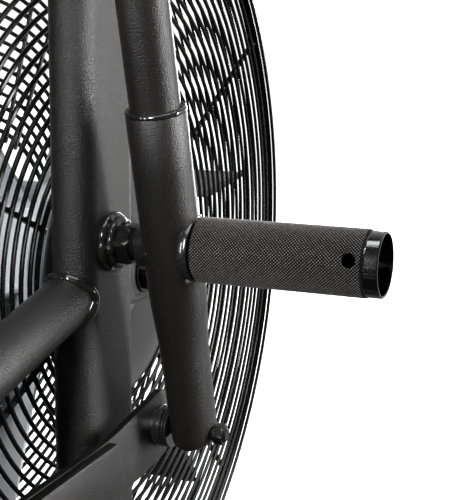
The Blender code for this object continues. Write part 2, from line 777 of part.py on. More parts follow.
def make_link(side):
    """Connecting bar: a plate with a round front eye, a rib along it and a ring on the crank pin."""
    name = side_name(side)
    front = lower_bolt(side)
    pin = Vector((0.0, CRANK_Y, CRANK_Z)) + pin_offset(side)
    run = front - pin
    angle = math.atan2(run.z, run.y)
    spin = Matrix.Rotation(angle, 4, "X")
    place = Matrix.Translation(pin) @ spin
    flat = Matrix(((0, 0, 1, 0), (1, 0, 0, 0), (0, 1, 0, 0), (0, 0, 0, 1)))
    length = run.length
    points = arc((length, 0.0), 0.0285, math.radians(-75), math.radians(75), 8)
    points += [(length - 0.080, 0.016), (0.006, 0.016), (0.006, -0.016), (length - 0.150, -0.016),
               (length - 0.050, -0.034)]
    plate = outline(f"link_{name}", points, 0.006, Matrix.Translation((side * 0.1510, 0, 0)) @ place @ flat,
                    PAINT)
    rib = box(f"link_rib_{name}", (0, 0, 0), (0.0100, length - 0.090, 0.031), hidden=True)
    rib.data.transform(
        Matrix.Translation((side * 0.1567, 0, 0)) @ place
        @ Matrix.Translation((0, 0.020 + (length - 0.090) / 2, 0.0))
    )
    eye = rod(f"link_eye_{name}", pin + Vector((side * 0.1481, 0, 0)), pin + Vector((side * 0.1619, 0, 0)),
              0.0200, sides=24, hidden=True)
    washer = rod(f"link_washer_{name}", front + Vector((side * 0.1500, 0, 0)),
                 front + Vector((side * 0.1615, 0, 0)), 0.0170, sides=20, hidden=True)
    join(plate, rib, eye, washer)
    cut(plate, rod(f"link_bore_{name}", pin + Vector((side * 0.13, 0, 0)),
                   pin + Vector((side * 0.18, 0, 0)), 0.0102, sides=20, hidden=True))
    return plate


# ---- arms, pivots and pegs ----------------------------------------------------------------
def arm_place(side):
    lean = ARM_LEAN_RIGHT if side > 0 else ARM_LEAN_LEFT
    return Matrix.Translation((side * (FACE_X + ARM_OFFSET), PIVOT_Y, PIVOT_Z)) @ Matrix.Rotation(lean, 4, "X")


def arm_half_width(height):
    """Half width of the lever across X: round at the pivot, pressed narrower towards its foot."""
    if height > -0.030:
        return ARM_RADIUS
    if height > -0.090:
        return ARM_RADIUS - (0.0036 * (-0.030 - height) / 0.060)
    return max(0.0168, ARM_RADIUS - 0.0036 - 0.014 * (-0.090 - height))


def make_arm(side):
    name = side_name(side)
    place = arm_place(side)
    heights = [SLEEVE_TOP, -0.030, -0.090, -0.160, -0.1710, -0.1745]
    dome = {-0.1710: 0.88, -0.1745: 0.55}

    def build(bm):
        bmesh.ops.create_cone(bm, cap_ends=True, segments=16, radius1=ARM_RADIUS, radius2=ARM_RADIUS,
                              depth=heights[0] - heights[-1])
        bmesh.ops.translate(bm, vec=(0, 0, (heights[0] + heights[-1]) / 2), verts=bm.verts)
        for height in heights[1:-1]:
            bmesh.ops.bisect_plane(bm, geom=bm.verts[:] + bm.edges[:] + bm.faces[:],
                                   plane_co=(0, 0, height), plane_no=(0, 0, 1))
        for vertex in bm.verts:
            nearest = min(heights, key=lambda height: abs(height - vertex.co.z))
            shrink = dome.get(nearest, 1.0)
            vertex.co.x *= arm_half_width(nearest) / ARM_RADIUS * shrink
            vertex.co.y *= shrink
        bmesh.ops.transform(bm, matrix=place, verts=bm.verts)

    arm = add(f"arm_lever_{name}", mesh_of(build), PAINT)
    housing = rod(f"arm_housing_{name}", to_right(0.0270, PIVOT_Y, PIVOT_Z, side),
                  to_right(PEG_ROOT - 0.0004, PIVOT_Y, PIVOT_Z, side), HOUSING_RADIUS, sides=20, hidden=True)
    ring = rod(f"arm_ring_{name}", to_right(0.0640, PIVOT_Y, PIVOT_Z, side),
               to_right(PEG_ROOT - 0.0004, PIVOT_Y, PIVOT_Z, side), HOUSING_RING_RADIUS, sides=28, hidden=True)
    join(arm, housing, ring)
    bore = rod(f"arm_bore_{name}", to_right(0.010, PIVOT_Y, PIVOT_Z, side),
               to_right(0.09, PIVOT_Y, PIVOT_Z, side), AXLE_RADIUS + 0.0003, sides=20, hidden=True)
    bolt_hole = rod(f"arm_bolt_hole_{name}", to_right(0.0, 0, 0, side) + lower_bolt(side),
                    to_right(0.1, 0, 0, side) + lower_bolt(side), 0.0060, sides=16, hidden=True)
    cut(arm, bore, bolt_hole)
    return arm


def make_arm_bolt(side):
    """Bolt through the lever's foot: head outside, spacer ring inside, facing the link's washer."""
    name = side_name(side)
    base = lower_bolt(side)

    def at(x):
        return base + Vector((side * (FACE_X + x), 0, 0))

    bolt = rod(f"arm_bolt_{name}", at(0.0275), at(0.0785), 0.0057, (STEEL, 0.35, 1.0), sides=16)
    head = rod(f"bolt_head_{name}", at(0.0679), at(0.0760), 0.0085, sides=6, hidden=True)
    nut = rod(f"bolt_nut_{name}", at(0.0755), at(0.0785), 0.0064, hidden=True)
    ring = rod(f"bolt_ring_{name}", at(0.0270), at(0.0319), 0.0170, sides=20, hidden=True)
    join(bolt, head, nut, ring)
    return bolt


def handle_points(place):
    centre = Vector((0, -HANDLE_BEND_RADIUS, HANDLE_STRAIGHT))
    points = [Vector((0, 0, SLEEVE_TOP + GAP)), Vector((0, 0, HANDLE_STRAIGHT))]
    for step in range(1, 7):
        angle = HANDLE_BEND * step / 6
        points.append(centre + HANDLE_BEND_RADIUS * Vector((0, math.cos(angle), math.sin(angle))))
    ahead = Vector((0, -math.sin(HANDLE_BEND), math.cos(HANDLE_BEND)))
    points.append(points[-1] + ahead * HANDLE_TAIL)
    return [place @ point for point in points], (place.to_3x3() @ ahead)


def make_handle(side):
    name = side_name(side)
    points, ahead = handle_points(arm_place(side))
    tube_path(f"handle_tube_{name}", points, HANDLE_RADIUS, PAINT, resolution=3)
    end = points[-1]
    profile = [
        (0.0, 0.004), (0.0190, 0.004), (0.0225, 0.0), (0.0225, 0.006 - HANDLE_TAIL),
        (0.0215, 0.004 - HANDLE_TAIL), (HANDLE_RADIUS + GAP, 0.004 - HANDLE_TAIL),
        (HANDLE_RADIUS + GAP, 0.0003), (0.0, 0.0003),
    ]
    place = Matrix.Translation(end) @ ahead.to_track_quat("Z", "X").to_matrix().to_4x4()
    turned(f"grip_{name}", profile, place, (RUBBER, 0.75, 0.0), sides=24)


def make_pivot(side):
    """Axle welded to the upright: weld collar, hexagon, plain journal and the nut in the peg."""
    name = side_name(side)

    def at(x):
        return to_right(x, PIVOT_Y, PIVOT_Z, side)

    axle = rod(f"pivot_axle_{name}", at(GAP), at(0.0930), AXLE_RADIUS, (STEEL, 0.35, 1.0), sides=20)
    weld = rod(f"pivot_weld_{name}", at(GAP), at(0.0085), 0.0225, sides=20, end_radius=0.0185, hidden=True)
    hexagon = rod(f"pivot_hex_{name}", at(0.0080), at(0.0200), 0.0170, sides=6, hidden=True)
    washer = rod(f"pivot_washer_{name}", at(0.0195), at(0.0262), 0.0140, sides=20, hidden=True)
    nut = rod(f"pivot_nut_{name}", at(0.0850), at(0.0930), 0.0170, sides=6, hidden=True)
    join(axle, weld, hexagon, washer, nut)
    return axle


def make_peg(side):
    """Foot peg: thick tube with a knurled grip, a plain end ring and one cross hole."""
    name = side_name(side)
    profile = [
        (PEG_RADIUS, PEG_KNURL_END), (PEG_RADIUS, PEG_ROOT + 0.0015), (PEG_RADIUS - 0.0015, PEG_ROOT),
        (AXLE_RADIUS + GAP, PEG_ROOT), (AXLE_RADIUS + GAP, 0.0845), (PEG_BORE, 0.0845),
        (PEG_BORE, PEG_END), (PEG_RADIUS - 0.0018, PEG_END), (PEG_RADIUS - 0.0010, PEG_END - 0.0010),
        (PEG_RADIUS - 0.0010, PEG_KNURL_END),
    ]
    place = Matrix.Translation((side * FACE_X, PIVOT_Y, PIVOT_Z)) @ x_axis(side)
    peg = turned(f"foot_peg_{name}", profile, place, (BLACK, 0.4, 0.5), sides=24)
    rear = Vector((0, -math.cos(math.radians(13)), math.sin(math.radians(13))))
    middle = to_right(0.1905, PIVOT_Y, PIVOT_Z, side)
    hole = rod(f"peg_hole_{name}", middle + rear * 0.012, middle + rear * 0.03, 0.0052, hidden=True)
    cut(peg, hole)
    return peg


# ---- seat ---------------------------------------------------------------------------------
def seat_top():
    return SEAT_FOOT + seat_axis() * (SEAT_MAST_LENGTH + POST_OUT)


def make_seat_post():
    top = seat_top()
    post = obround("seat_post", SEAT_FOOT + seat_axis() * 0.150, top, 0.040, 0.054, PAINT)
    rail = box("seat_rail", top + Vector((0, -0.004, 0.012)), (0.040, 0.190, 0.026), hidden=True, bevel=0.003)
    join(post, rail)
    for number in range(4):
        spot = SEAT_FOOT + seat_axis() * (SEAT_MAST_LENGTH - 0.035 + 0.030 * number)
        socket = rod(f"seat_post_hole_{number}", spot + seat_front() * 0.0225, spot + seat_front() * 0.04,
                     0.0056, sides=8, hidden=True)
        cut(post, socket)
    return post


def make_seat_slider():
    """Carriage that slides on the post's rail, with the clamp knob under it."""
    top = seat_top()
    slider = box("seat_slider", top + Vector((0, -0.020, 0.0150)), (0.066, 0.090, 0.046),
                 (SATIN_BLACK, 0.5, 0.0), bevel=0.003)
    channel = box("slider_channel", top + Vector((0, -0.020, 0.0120)), (0.0410, 0.200, 0.0270), hidden=True)
    below = box("slider_slot", top + Vector((0, -0.020, -0.0100)), (0.0410, 0.200, 0.0300), hidden=True)
    cut(slider, channel, below)
    plate = box("saddle_plate", top + Vector((0, -0.020, 0.0405)), (0.120, 0.150, 0.007), hidden=True)
    join(slider, plate)
    side = top + Vector((0.0333, -0.020, 0.012))
    profile = [(0.0, 0.030), (0.018, 0.030), (0.021, 0.026), (0.021, 0.012), (0.010, 0.006), (0.010, 0.0),
               (0.0, 0.0)]
    turned("slider_knob", profile, Matrix.Translation(side) @ x_axis(), (SATIN_BLACK, 0.5, 0.0), sides=20)
    return slider


def make_saddle():
    """Wide saddle: a coarse cage, broad at the back and narrow at the nose, smoothed."""
    top = seat_top() + Vector((0, -0.028, 0.0445))

    def build(bm):
        bmesh.ops.create_cube(bm, size=1.0)
        bmesh.ops.scale(bm, vec=(0.270, 0.290, 0.105), verts=bm.verts)
        for y in (-0.070, 0.000, 0.070):
            bmesh.ops.bisect_plane(bm, geom=bm.verts[:] + bm.edges[:] + bm.faces[:],
                                   plane_co=(0, y, 0), plane_no=(0, 1, 0))
        for x in (-0.05, 0.05):
            bmesh.ops.bisect_plane(bm, geom=bm.verts[:] + bm.edges[:] + bm.faces[:],
                                   plane_co=(x, 0, 0), plane_no=(1, 0, 0))
        bmesh.ops.bisect_plane(bm, geom=bm.verts[:] + bm.edges[:] + bm.faces[:],
                               plane_co=(0, 0, -0.010), plane_no=(0, 0, 1))
        for vertex in bm.verts:
            ahead = max(0.0, vertex.co.y)
            vertex.co.x *= 1.0 - 3.6 * ahead
            if vertex.co.z < -0.020:
                vertex.co.z = -0.0525 + 0.10 * abs(vertex.co.y)
                vertex.co.x *= 0.86
                vertex.co.y *= 0.90
            elif vertex.co.z > 0.020:
                vertex.co.z -= 0.8 * max(0.0, ahead - 0.05) + (0.010 if abs(vertex.co.x) < 0.06 else 0.0)
        bmesh.ops.translate(bm, vec=top + Vector((0, 0, 0.0490)), verts=bm.verts)

    saddle = add("saddle", mesh_of(build), (SEAT_BLACK, 0.6, 0.0))
    smooth = saddle.modifiers.new("soft", "SUBSURF")
    smooth.levels = 1
    smooth.render_levels = 1
    base = box("saddle_base_gap", top + Vector((0, 0, -0.0497)), (0.4, 0.5, 0.1), hidden=True)
    cut(saddle, base)
    return saddle


# ---- assembly -----------------------------------------------------------------------------
def main():
    clear_scene()
    front_bar = make_foot_bar("foot_bar_front", PIVOT_Y + 0.002, FRONT_BAR_LENGTH)
    make_front_bar_lugs(front_bar, PIVOT_Y + 0.002)
    make_foot_bar("foot_bar_rear", REAR_BAR_Y, REAR_BAR_LENGTH)
    make_crank_housings()
    make_beam()
    make_bridge()
    make_seat_mast()
    make_rear_handle()
    make_console()
    make_guard_face(GUARD_RIGHT_X, "guard_right", 0.118)
    make_guard_face(GUARD_LEFT_X, "guard_left", 0.118)
    make_guard_band()
    make_hub_cover()
    make_fan()
    make_fan_axle()
    pulley("fan_pulley", FAN_Y, FAN_Z, FAN_PULLEY_RADIUS, 0.0088, (SATIN_BLACK, 0.4, 0.5))
    pulley("drive_pulley", CRANK_Y, CRANK_Z, DRIVE_PULLEY_RADIUS, 0.0113, (SATIN_BLACK, 0.4, 0.5))
    make_belt()
    make_belt_cover()
    make_spindle()
    for side in (1, -1):
        make_upright(side)
        make_side_tube(side)
        make_lower_tube(side)
        make_crank(side)
        make_link(side)
        make_pivot(side)
        make_arm(side)
        make_arm_bolt(side)
        make_handle(side)
        make_peg(side)
    make_seat_post()
    make_seat_slider()
    make_saddle()


main()
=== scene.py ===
"""Air bike: the looks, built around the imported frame. Metres, in the frame's own axes."""

import math

import bmesh
import bpy
from mathutils import Matrix, Vector, noise
from mathutils.geometry import interpolate_bezier


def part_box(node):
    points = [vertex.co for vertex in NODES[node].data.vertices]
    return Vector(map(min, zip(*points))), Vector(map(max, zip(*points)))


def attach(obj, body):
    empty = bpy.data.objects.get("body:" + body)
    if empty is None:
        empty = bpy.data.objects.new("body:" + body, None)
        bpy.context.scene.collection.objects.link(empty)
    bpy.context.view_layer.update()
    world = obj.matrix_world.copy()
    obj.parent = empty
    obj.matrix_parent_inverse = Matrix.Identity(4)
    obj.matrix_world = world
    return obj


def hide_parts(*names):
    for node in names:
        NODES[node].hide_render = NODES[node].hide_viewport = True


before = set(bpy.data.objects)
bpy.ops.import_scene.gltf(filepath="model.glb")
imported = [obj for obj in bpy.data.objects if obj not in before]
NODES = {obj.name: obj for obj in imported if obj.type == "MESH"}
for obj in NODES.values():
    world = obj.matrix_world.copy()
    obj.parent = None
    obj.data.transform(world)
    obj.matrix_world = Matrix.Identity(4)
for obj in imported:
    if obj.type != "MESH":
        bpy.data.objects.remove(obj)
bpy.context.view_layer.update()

# ---- dimensions repeated from the CAD ------------------------------------------------------
FACE_X = 0.135          # outer face of each upright
UPRIGHT_WIDTH, UPRIGHT_DEPTH, UPRIGHT_TOP = 0.037, 0.082, 0.905
CAP_HEIGHT = 0.006
PIVOT_Y, PIVOT_Z = 0.2805, 0.484
UPRIGHT_Y = PIVOT_Y + 0.002
FAN_Y, FAN_Z = PIVOT_Y + 0.086, PIVOT_Z - 0.039
GUARD_RADIUS = 0.3805
GUARD_RIGHT_X, GUARD_LEFT_X = FACE_X - 0.048, FACE_X - 0.185
HUB_COVER_RADIUS = 0.116
ROTOR_X = (GUARD_RIGHT_X + GUARD_LEFT_X) / 2
BLADE_PHASE = math.radians(8.5)
BLADES = 6
SIDE_TUBE_RADIUS, SIDE_TUBE_SLOPE = 0.02, math.radians(15.5)
CRANK_Y, CRANK_Z = -0.1295, 0.361
CRANK_THROW, CRANK_LENGTH = 0.045, 0.17
ARM_OFFSET, ARM_REACH, ARM_RADIUS = 0.05, 0.16, 0.0218
ARM_LEAN = {1: math.radians(15.0), -1: math.radians(12.6)}
SLEEVE_TOP = 0.104
HANDLE_RADIUS, HANDLE_STRAIGHT = 0.0182, 0.66
HANDLE_BEND, HANDLE_BEND_RADIUS, HANDLE_TAIL = math.radians(50), 0.1, 0.15
AXLE_RADIUS = 0.011
PEG_RADIUS, PEG_BORE = 0.02415, 0.0213
PEG_ROOT, PEG_KNURL_END, PEG_END = 0.0723, 0.2, 0.2106
KNURL_STARTS, KNURL_DEPTH = 62, 0.00095
FOOT_PAD, FOOT_BAR_HEIGHT, FOOT_BAR_DEPTH = 0.012, 0.05, 0.08
FOOT_BAR_Z = FOOT_PAD + 0.0003 + FOOT_BAR_HEIGHT / 2
REAR_BAR_Y = -0.66
SEAT_LEAN = math.radians(17)
SEAT_FOOT = Vector((0.0, -0.408, 0.27))
SEAT_AXIS = Vector((0.0, -math.sin(SEAT_LEAN), math.cos(SEAT_LEAN)))
SEAT_FRONT = Vector((0.0, math.cos(SEAT_LEAN), math.sin(SEAT_LEAN)))
SEAT_MAST_LENGTH, POST_OUT = 0.33, 0.165
SEAT_TOP = SEAT_FOOT + SEAT_AXIS * (SEAT_MAST_LENGTH + POST_OUT)
CONSOLE_SIZE = Vector((0.205, 0.044, 0.15))
CONSOLE_AT = Vector((0.0, PIVOT_Y - 0.088, 1.17))
CONSOLE_TILT = Matrix.Rotation(math.radians(-28), 4, "X")
PIN_DOWN = 0.035        # from the top of the seat mast to the pop pin
BUTTON_X = (-0.055, 0.0, 0.055)
SIDES = ((1, "right", "r"), (-1, "left", "l"))

def linked(name, data):
    """A new object in the scene."""
    obj = bpy.data.objects.new(name, data)
    bpy.context.scene.collection.objects.link(obj)
    return obj


# ---- camera --------------------------------------------------------------------------------
CAMERA_AT = Vector((0.5154, -0.3987, 0.6144))
AZIMUTH, PITCH, ROLL = math.radians(22.911), math.radians(9.939), math.radians(0.649)
LENS, SENSOR = 74.85, 36.0


def make_camera():
    ahead = Vector((-math.sin(AZIMUTH) * math.cos(PITCH), math.cos(AZIMUTH) * math.cos(PITCH),
                    -math.sin(PITCH)))
    level = Vector((math.cos(AZIMUTH), math.sin(AZIMUTH), 0.0))
    above = level.cross(ahead)
    right = math.cos(ROLL) * level + math.sin(ROLL) * above
    up = -math.sin(ROLL) * level + math.cos(ROLL) * above
    turn = Matrix((right, up, -ahead)).transposed().to_4x4()
    data = bpy.data.cameras.new("camera")
    data.lens, data.sensor_width = LENS, SENSOR
    data.clip_start, data.clip_end = 0.01, 100.0
    camera = linked("camera", data)
    camera.matrix_world = Matrix.Translation(CAMERA_AT) @ turn
    bpy.context.scene.camera = camera


# ---- materials -----------------------------------------------------------------------------
def rgb(tone):
    """A colour, or one number for a grey."""
    return (tone, tone, tone) if isinstance(tone, float) else tone


def shader_of(name, colour, roughness, metallic=0.0, specular=0.5, coat=0.0, coat_roughness=0.2):
    made = bpy.data.materials.new(name)
    made.use_nodes = True
    shader = made.node_tree.nodes["Principled BSDF"]
    shader.inputs["Base Color"].default_value = (*rgb(colour), 1.0)
    shader.inputs["Roughness"].default_value = roughness
    shader.inputs["Metallic"].default_value = metallic
    shader.inputs["Specular IOR Level"].default_value = specular
    shader.inputs["Coat Weight"].default_value = coat
    shader.inputs["Coat Roughness"].default_value = coat_roughness
    return made, made.node_tree, shader


def noise_of(tree, place, scale, detail=2.0, stretch=None):
    node = tree.nodes.new("ShaderNodeTexNoise")
    node.inputs["Scale"].default_value = scale
    node.inputs["Detail"].default_value = detail
    if stretch:
        mapping = tree.nodes.new("ShaderNodeMapping")
        mapping.inputs["Scale"].default_value = stretch
        tree.links.new(place, mapping.inputs["Vector"])
        place = mapping.outputs["Vector"]
    tree.links.new(place, node.inputs["Vector"])
    return node.outputs["Fac"]


def spread(tree, value, low, high, start=0.35, end=0.65):
    """The value's middle part mapped to low..high."""
    node = tree.nodes.new("ShaderNodeMapRange")
    for socket, number in (("From Min", start), ("From Max", end), ("To Min", low), ("To Max", high)):
        node.inputs[socket].default_value = number
    tree.links.new(value, node.inputs["Value"])
    return node.outputs["Result"]


def summed(tree, broad, fine, share):
    """The broad value with the given share of the fine one."""
    node = tree.nodes.new("ShaderNodeMix")
    node.inputs[0].default_value = share
    tree.links.new(broad, node.inputs[2])
    tree.links.new(fine, node.inputs[3])
    return node.outputs[0]


def mixed(tree, factor, first, second):
    node = tree.nodes.new("ShaderNodeMix")
    node.data_type = "RGBA"
    node.inputs[6].default_value = (*rgb(first), 1.0)
    node.inputs[7].default_value = (*rgb(second), 1.0)
    tree.links.new(factor, node.inputs[0])
    return node.outputs[2]


def bumped(tree, shader, height, strength, distance, before=None):
    node = tree.nodes.new("ShaderNodeBump")
    node.inputs["Strength"].default_value = strength
    node.inputs["Distance"].default_value = distance
    tree.links.new(height, node.inputs["Height"])
    if before:
        tree.links.new(before, node.inputs["Normal"])
    tree.links.new(node.outputs["Normal"], shader.inputs["Normal"])
    return node.outputs["Normal"]


def surface(name, dark, light, roughness, grain, bump, metallic=0.0, specular=0.5, coat=0.0,
            coat_roughness=0.2, cloud=9.0, rough_swing=0.06, stretch=None, distance=0.0002,
            speckle=0.3):
    """A coated or moulded surface: broad clouds of tone and gloss over a fine grain of given pitch."""
    made, tree, shader = shader_of(name, dark, roughness, metallic, specular, coat, coat_roughness)
    place = tree.nodes.new("ShaderNodeTexCoord").outputs["Object"]
    clouds = noise_of(tree, place, cloud, 3.0)
    fine = noise_of(tree, place, 1.0 / grain, 3.0, stretch)
    clouds = summed(tree, clouds, fine, speckle)
    tone = tree.nodes.new("ShaderNodeMath")
    tone.operation = "MULTIPLY"
    tree.links.new(spread(tree, clouds, 0.55, 1.0), tone.inputs[0])
    tree.links.new(spread(tree, fine, 0.35, 1.0, 0.3, 0.7), tone.inputs[1])
    tree.links.new(mixed(tree, tone.outputs[0], dark, light), shader.inputs["Base Color"])
    tree.links.new(spread(tree, clouds, roughness - rough_swing, roughness + rough_swing),
                   shader.inputs["Roughness"])
    bumped(tree, shader, fine, bump, distance)
    return made


def make_looks():
    """Each look's colours run from dark to light; then roughness, grain pitch and bump."""
    return {
        "paint": surface("powder_coat", (0.0035, 0.0032, 0.0031), (0.02, 0.0186, 0.018), 0.33,
                         0.001, 1.0, distance=0.0007, speckle=0.85),
        "arm_paint": surface("arm_coat", (0.0045, 0.004, 0.0038), (0.017, 0.0156, 0.015), 0.36,
                             0.001, 0.9, distance=0.0005, speckle=0.7),
        # near-black, nearly matte paint for the link's up-facing faces: painted shade
        "edge": surface("painted_shade_top", 0.001, 0.002, 0.55, 0.001, 0.3,
                        specular=0.08),
        "weld": surface("painted_weld", 0.006, (0.014, 0.0135, 0.013), 0.16, 0.004, 0.3,
                        specular=0.6, coat=0.5, coat_roughness=0.08),
        "wire": surface("wire_paint", 0.003, (0.007, 0.0066, 0.0064), 0.22, 0.002, 0.15,
                        specular=0.3),
        "cover": surface("hub_paint", (0.016, 0.016, 0.0165), (0.024, 0.024, 0.0245), 0.44, 0.0012, 0.2),
        "knurl": knurled("black_oxide"),
        "gloss": surface("polished_black", (0.008, 0.008, 0.009), (0.018, 0.018, 0.019), 0.16, 0.002, 0.1,
                         specular=0.7, coat=0.5, coat_roughness=0.08),
        "chrome": surface("black_chrome", 0.14, 0.2, 0.13, 0.002, 0.08,
                          metallic=1.0),
        "bolt": surface("bolt_black", 0.007, (0.016, 0.0155, 0.015), 0.22, 0.001, 0.25,
                        metallic=0.4, specular=0.6),
        "steel": surface("ground_steel", (0.4, 0.41, 0.42), (0.62, 0.62, 0.63), 0.25, 0.0006, 0.15,
                         metallic=1.0, stretch=(1.0, 0.05, 0.05)),
        # light grey fan, its colour raised near white as painted light where the cage and hub cover shade
        # it
        "fan": surface("fan_grey_with_painted_light", (0.86, 0.9, 0.95), (0.95, 0.97, 1.0), 0.4, 0.0015, 0.15),
        "rubber": surface("foot_rubber", 0.012, 0.028, 0.78, 0.0009, 0.4,
                          specular=0.35),
        "foam": surface("grip_foam", 0.014, (0.034, 0.034, 0.035), 0.72, 0.0007, 0.55,
                        specular=0.35),
        "plastic": surface("black_plastic", (0.018, 0.018, 0.019), (0.032, 0.032, 0.034), 0.46, 0.0008,
                           0.3),
        "console": surface("console_case", (0.026, 0.026, 0.029), (0.044, 0.044, 0.048), 0.48, 0.0007,
                           0.35),
        "button": surface("button_plastic", (0.25, 0.27, 0.29), (0.36, 0.38, 0.4), 0.42, 0.0008, 0.2),
        "screen": surface("display_glass", (0.05, 0.062, 0.056), (0.07, 0.084, 0.076), 0.1, 0.01,
                          0.0, coat=0.6, coat_roughness=0.03),
        "belt": surface("belt_rubber", 0.01, 0.022, 0.62, 0.0012, 0.35),
        "vinyl": leather("saddle_vinyl", (0.018, 0.018, 0.019), (0.036, 0.036, 0.037)),
    }


def knurled(name):
    """Black oxide with painted highlights on the crests and painted shade in the grooves: told apart by
    radius.
    """
    made, tree, shader = shader_of(name, 0.01, 0.3, metallic=0.6, specular=0.6)
    place = tree.nodes.new("ShaderNodeTexCoord").outputs["Object"]
    split = tree.nodes.new("ShaderNodeVectorMath")
    split.operation = "SUBTRACT"
    split.inputs[1].default_value = (0.0, PIVOT_Y, PIVOT_Z)
    tree.links.new(place, split.inputs[0])
    flat = tree.nodes.new("ShaderNodeVectorMath")
    flat.operation = "MULTIPLY"
    flat.inputs[1].default_value = (0.0, 1.0, 1.0)
    tree.links.new(split.outputs[0], flat.inputs[0])
    reach = tree.nodes.new("ShaderNodeVectorMath")
    reach.operation = "LENGTH"
    tree.links.new(flat.outputs[0], reach.inputs[0])
    crest = spread(tree, reach.outputs["Value"], 0.0, 1.0, PEG_RADIUS - 0.55 * KNURL_DEPTH,
                   PEG_RADIUS - 0.2 * KNURL_DEPTH)
    painted_crest_highlight = tree.nodes.new("ShaderNodeMath")
    painted_crest_highlight.operation = "MULTIPLY"
    tree.links.new(crest, painted_crest_highlight.inputs[0])
    highlight_speckle = spread(tree, noise_of(tree, place, 420.0, 1.0), 0.6, 1.0, 0.4, 0.62)
    tree.links.new(highlight_speckle, painted_crest_highlight.inputs[1])
    # crests painted bright and speckled as highlights, grooves painted near black as shade
    tree.links.new(mixed(tree, painted_crest_highlight.outputs[0], 0.0015, (0.72, 0.7, 0.67)),
                   shader.inputs["Base Color"])
    tree.links.new(spread(tree, crest, 0.55, 0.24, 0.0, 1.0), shader.inputs["Roughness"])
    bumped(tree, shader, noise_of(tree, place, 1400.0, 2.0), 0.15, 0.0001)
    return made


def leather(name, dark, light):
    """Vinyl: rounded pebbles with creases between them, painted darker in the creases as shade; the gloss
    varies in broad clouds.
    """
    made, tree, shader = shader_of(name, dark, 0.5, specular=0.45)
    shader.inputs["Sheen Weight"].default_value = 0.08
    place = tree.nodes.new("ShaderNodeTexCoord").outputs["Object"]
    cells = tree.nodes.new("ShaderNodeTexVoronoi")
    cells.feature = "DISTANCE_TO_EDGE"
    cells.inputs["Scale"].default_value = 620.0
    tree.links.new(place, cells.inputs["Vector"])
    pebble = spread(tree, cells.outputs["Distance"], 0.0, 1.0, 0.0, 0.22)
    clouds = noise_of(tree, place, 14.0, 3.0)
    # darker towards the cell edges: painted shade in the creases
    tree.links.new(mixed(tree, pebble, dark, light), shader.inputs["Base Color"])
    tree.links.new(spread(tree, clouds, 0.44, 0.56), shader.inputs["Roughness"])
    first = bumped(tree, shader, pebble, 0.3, 0.0003)
    bumped(tree, shader, noise_of(tree, place, 70.0, 2.0), 0.15, 0.001, first)
    return made


# ---- mesh building -------------------------------------------------------------------------
def loft(bm, rings, closed=False, caps=True, slot=0):
    """Skins a run of rings of equal size; a ring of one point closes to a tip."""
    made = [[bm.verts.new(point) for point in ring] for ring in rings]
    pairs = list(zip(made, made[1:])) + ([(made[-1], made[0])] if closed else [])
    faces = []
    for first, second in pairs:
        count = max(len(first), len(second))
        for i in range(count):
            j = (i + 1) % count
            if len(first) == 1:
                faces.append((first[0], second[j], second[i]))
            elif len(second) == 1:
                faces.append((first[i], first[j], second[0]))
            else:
                faces.append((first[i], first[j], second[j], second[i]))
    if caps and not closed:
        for ring in (made[0], made[-1]):
            if len(ring) > 2:
                faces.append(ring)
    for face in faces:
        bm.faces.new(face).material_index = slot


def frames(points, closed=False):
    """A turn-free pair of side directions at each point of a path."""
    points = [Vector(point) for point in points]
    count = len(points)
    ways = []
    for i in range(count):
        before = points[i - 1] if i or closed else points[i]
        after = points[(i + 1) % count] if i < count - 1 or closed else points[i]
        ways.append((after - before).normalized())
    side = ways[0].orthogonal().normalized()
    sides = []
    for way in ways:
        side = (side - way * side.dot(way)).normalized()
        sides.append((side, way.cross(side)))
    if closed:
        end = (sides[-1][0] - ways[0] * sides[-1][0].dot(ways[0])).normalized()
        twist = math.atan2(end.dot(sides[0][1]), end.dot(sides[0][0]))
        for i in range(count):
            turn = Matrix.Rotation(-twist * i / count, 3, ways[i])
            sides[i] = (turn @ sides[i][0], turn @ sides[i][1])
    return points, sides


def circle(count, radius=1.0):
    """Evenly spaced points round a circle, as pairs."""
    return [(radius * math.cos(math.tau * k / count), radius * math.sin(math.tau * k / count))
            for k in range(count)]


def tube(bm, path, radius, sides=24, closed=False, round_ends=False, slot=0):
    """Round bar along a path. The radius is a number or one number for each point."""
    points, ways = frames(path, closed)
    radii = [radius] * len(points) if isinstance(radius, (int, float)) else list(radius)
    rings = [[point + (u * c + v * s) * r for c, s in circle(sides)]
             for point, (u, v), r in zip(points, ways, radii)]
    if round_ends and not closed:
        for end, index in ((rings[0], 0), (rings[-1], -1)):
            at = points[index]
            outward_end = (at - points[1 if index == 0 else -2]).normalized() * radii[index]
            dome = [[at + (p - at) * math.cos(a) + outward_end * math.sin(a) for p in end]
                    for a in (math.radians(30), math.radians(60))] + [[at + outward_end]]
            rings = dome[::-1] + rings if index == 0 else rings + dome
    loft(bm, rings, closed, slot=slot)


def lathe(bm, profile, place, steps=64, slot=0):
    """Solid of revolution about local Z from (radius, height) pairs.

    A profile that doesn't start and end on the axis closes on itself."""
    rings = []
    for radius, height in profile:
        around = circle(steps, radius) if radius > 0.0 else [(0, 0)]
        rings.append([place @ Vector((x, y, height)) for x, y in around])
    on_axis = profile[0][0] <= 0.0 and profile[-1][0] <= 0.0
    loft(bm, rings, closed=not on_axis, caps=False, slot=slot)


def inset(points, distance):
    """A closed outline moved inwards."""
    count = len(points)
    area = sum(points[i][0] * points[(i + 1) % count][1] - points[(i + 1) % count][0] * points[i][1]
               for i in range(count))
    sign = 1.0 if area > 0 else -1.0
    moved = []
    for i in range(count):
        a, b, c = (Vector(points[j % count][:2]) for j in (i - 1, i, i + 1))
        first, second = (b - a), (c - b)
        flat = Vector((-first.y, first.x)).normalized()
        normal = (flat + Vector((-second.y, second.x)).normalized()).normalized()
        moved.append(b + normal * sign * distance / max(0.5, normal.dot(flat)))
    return moved


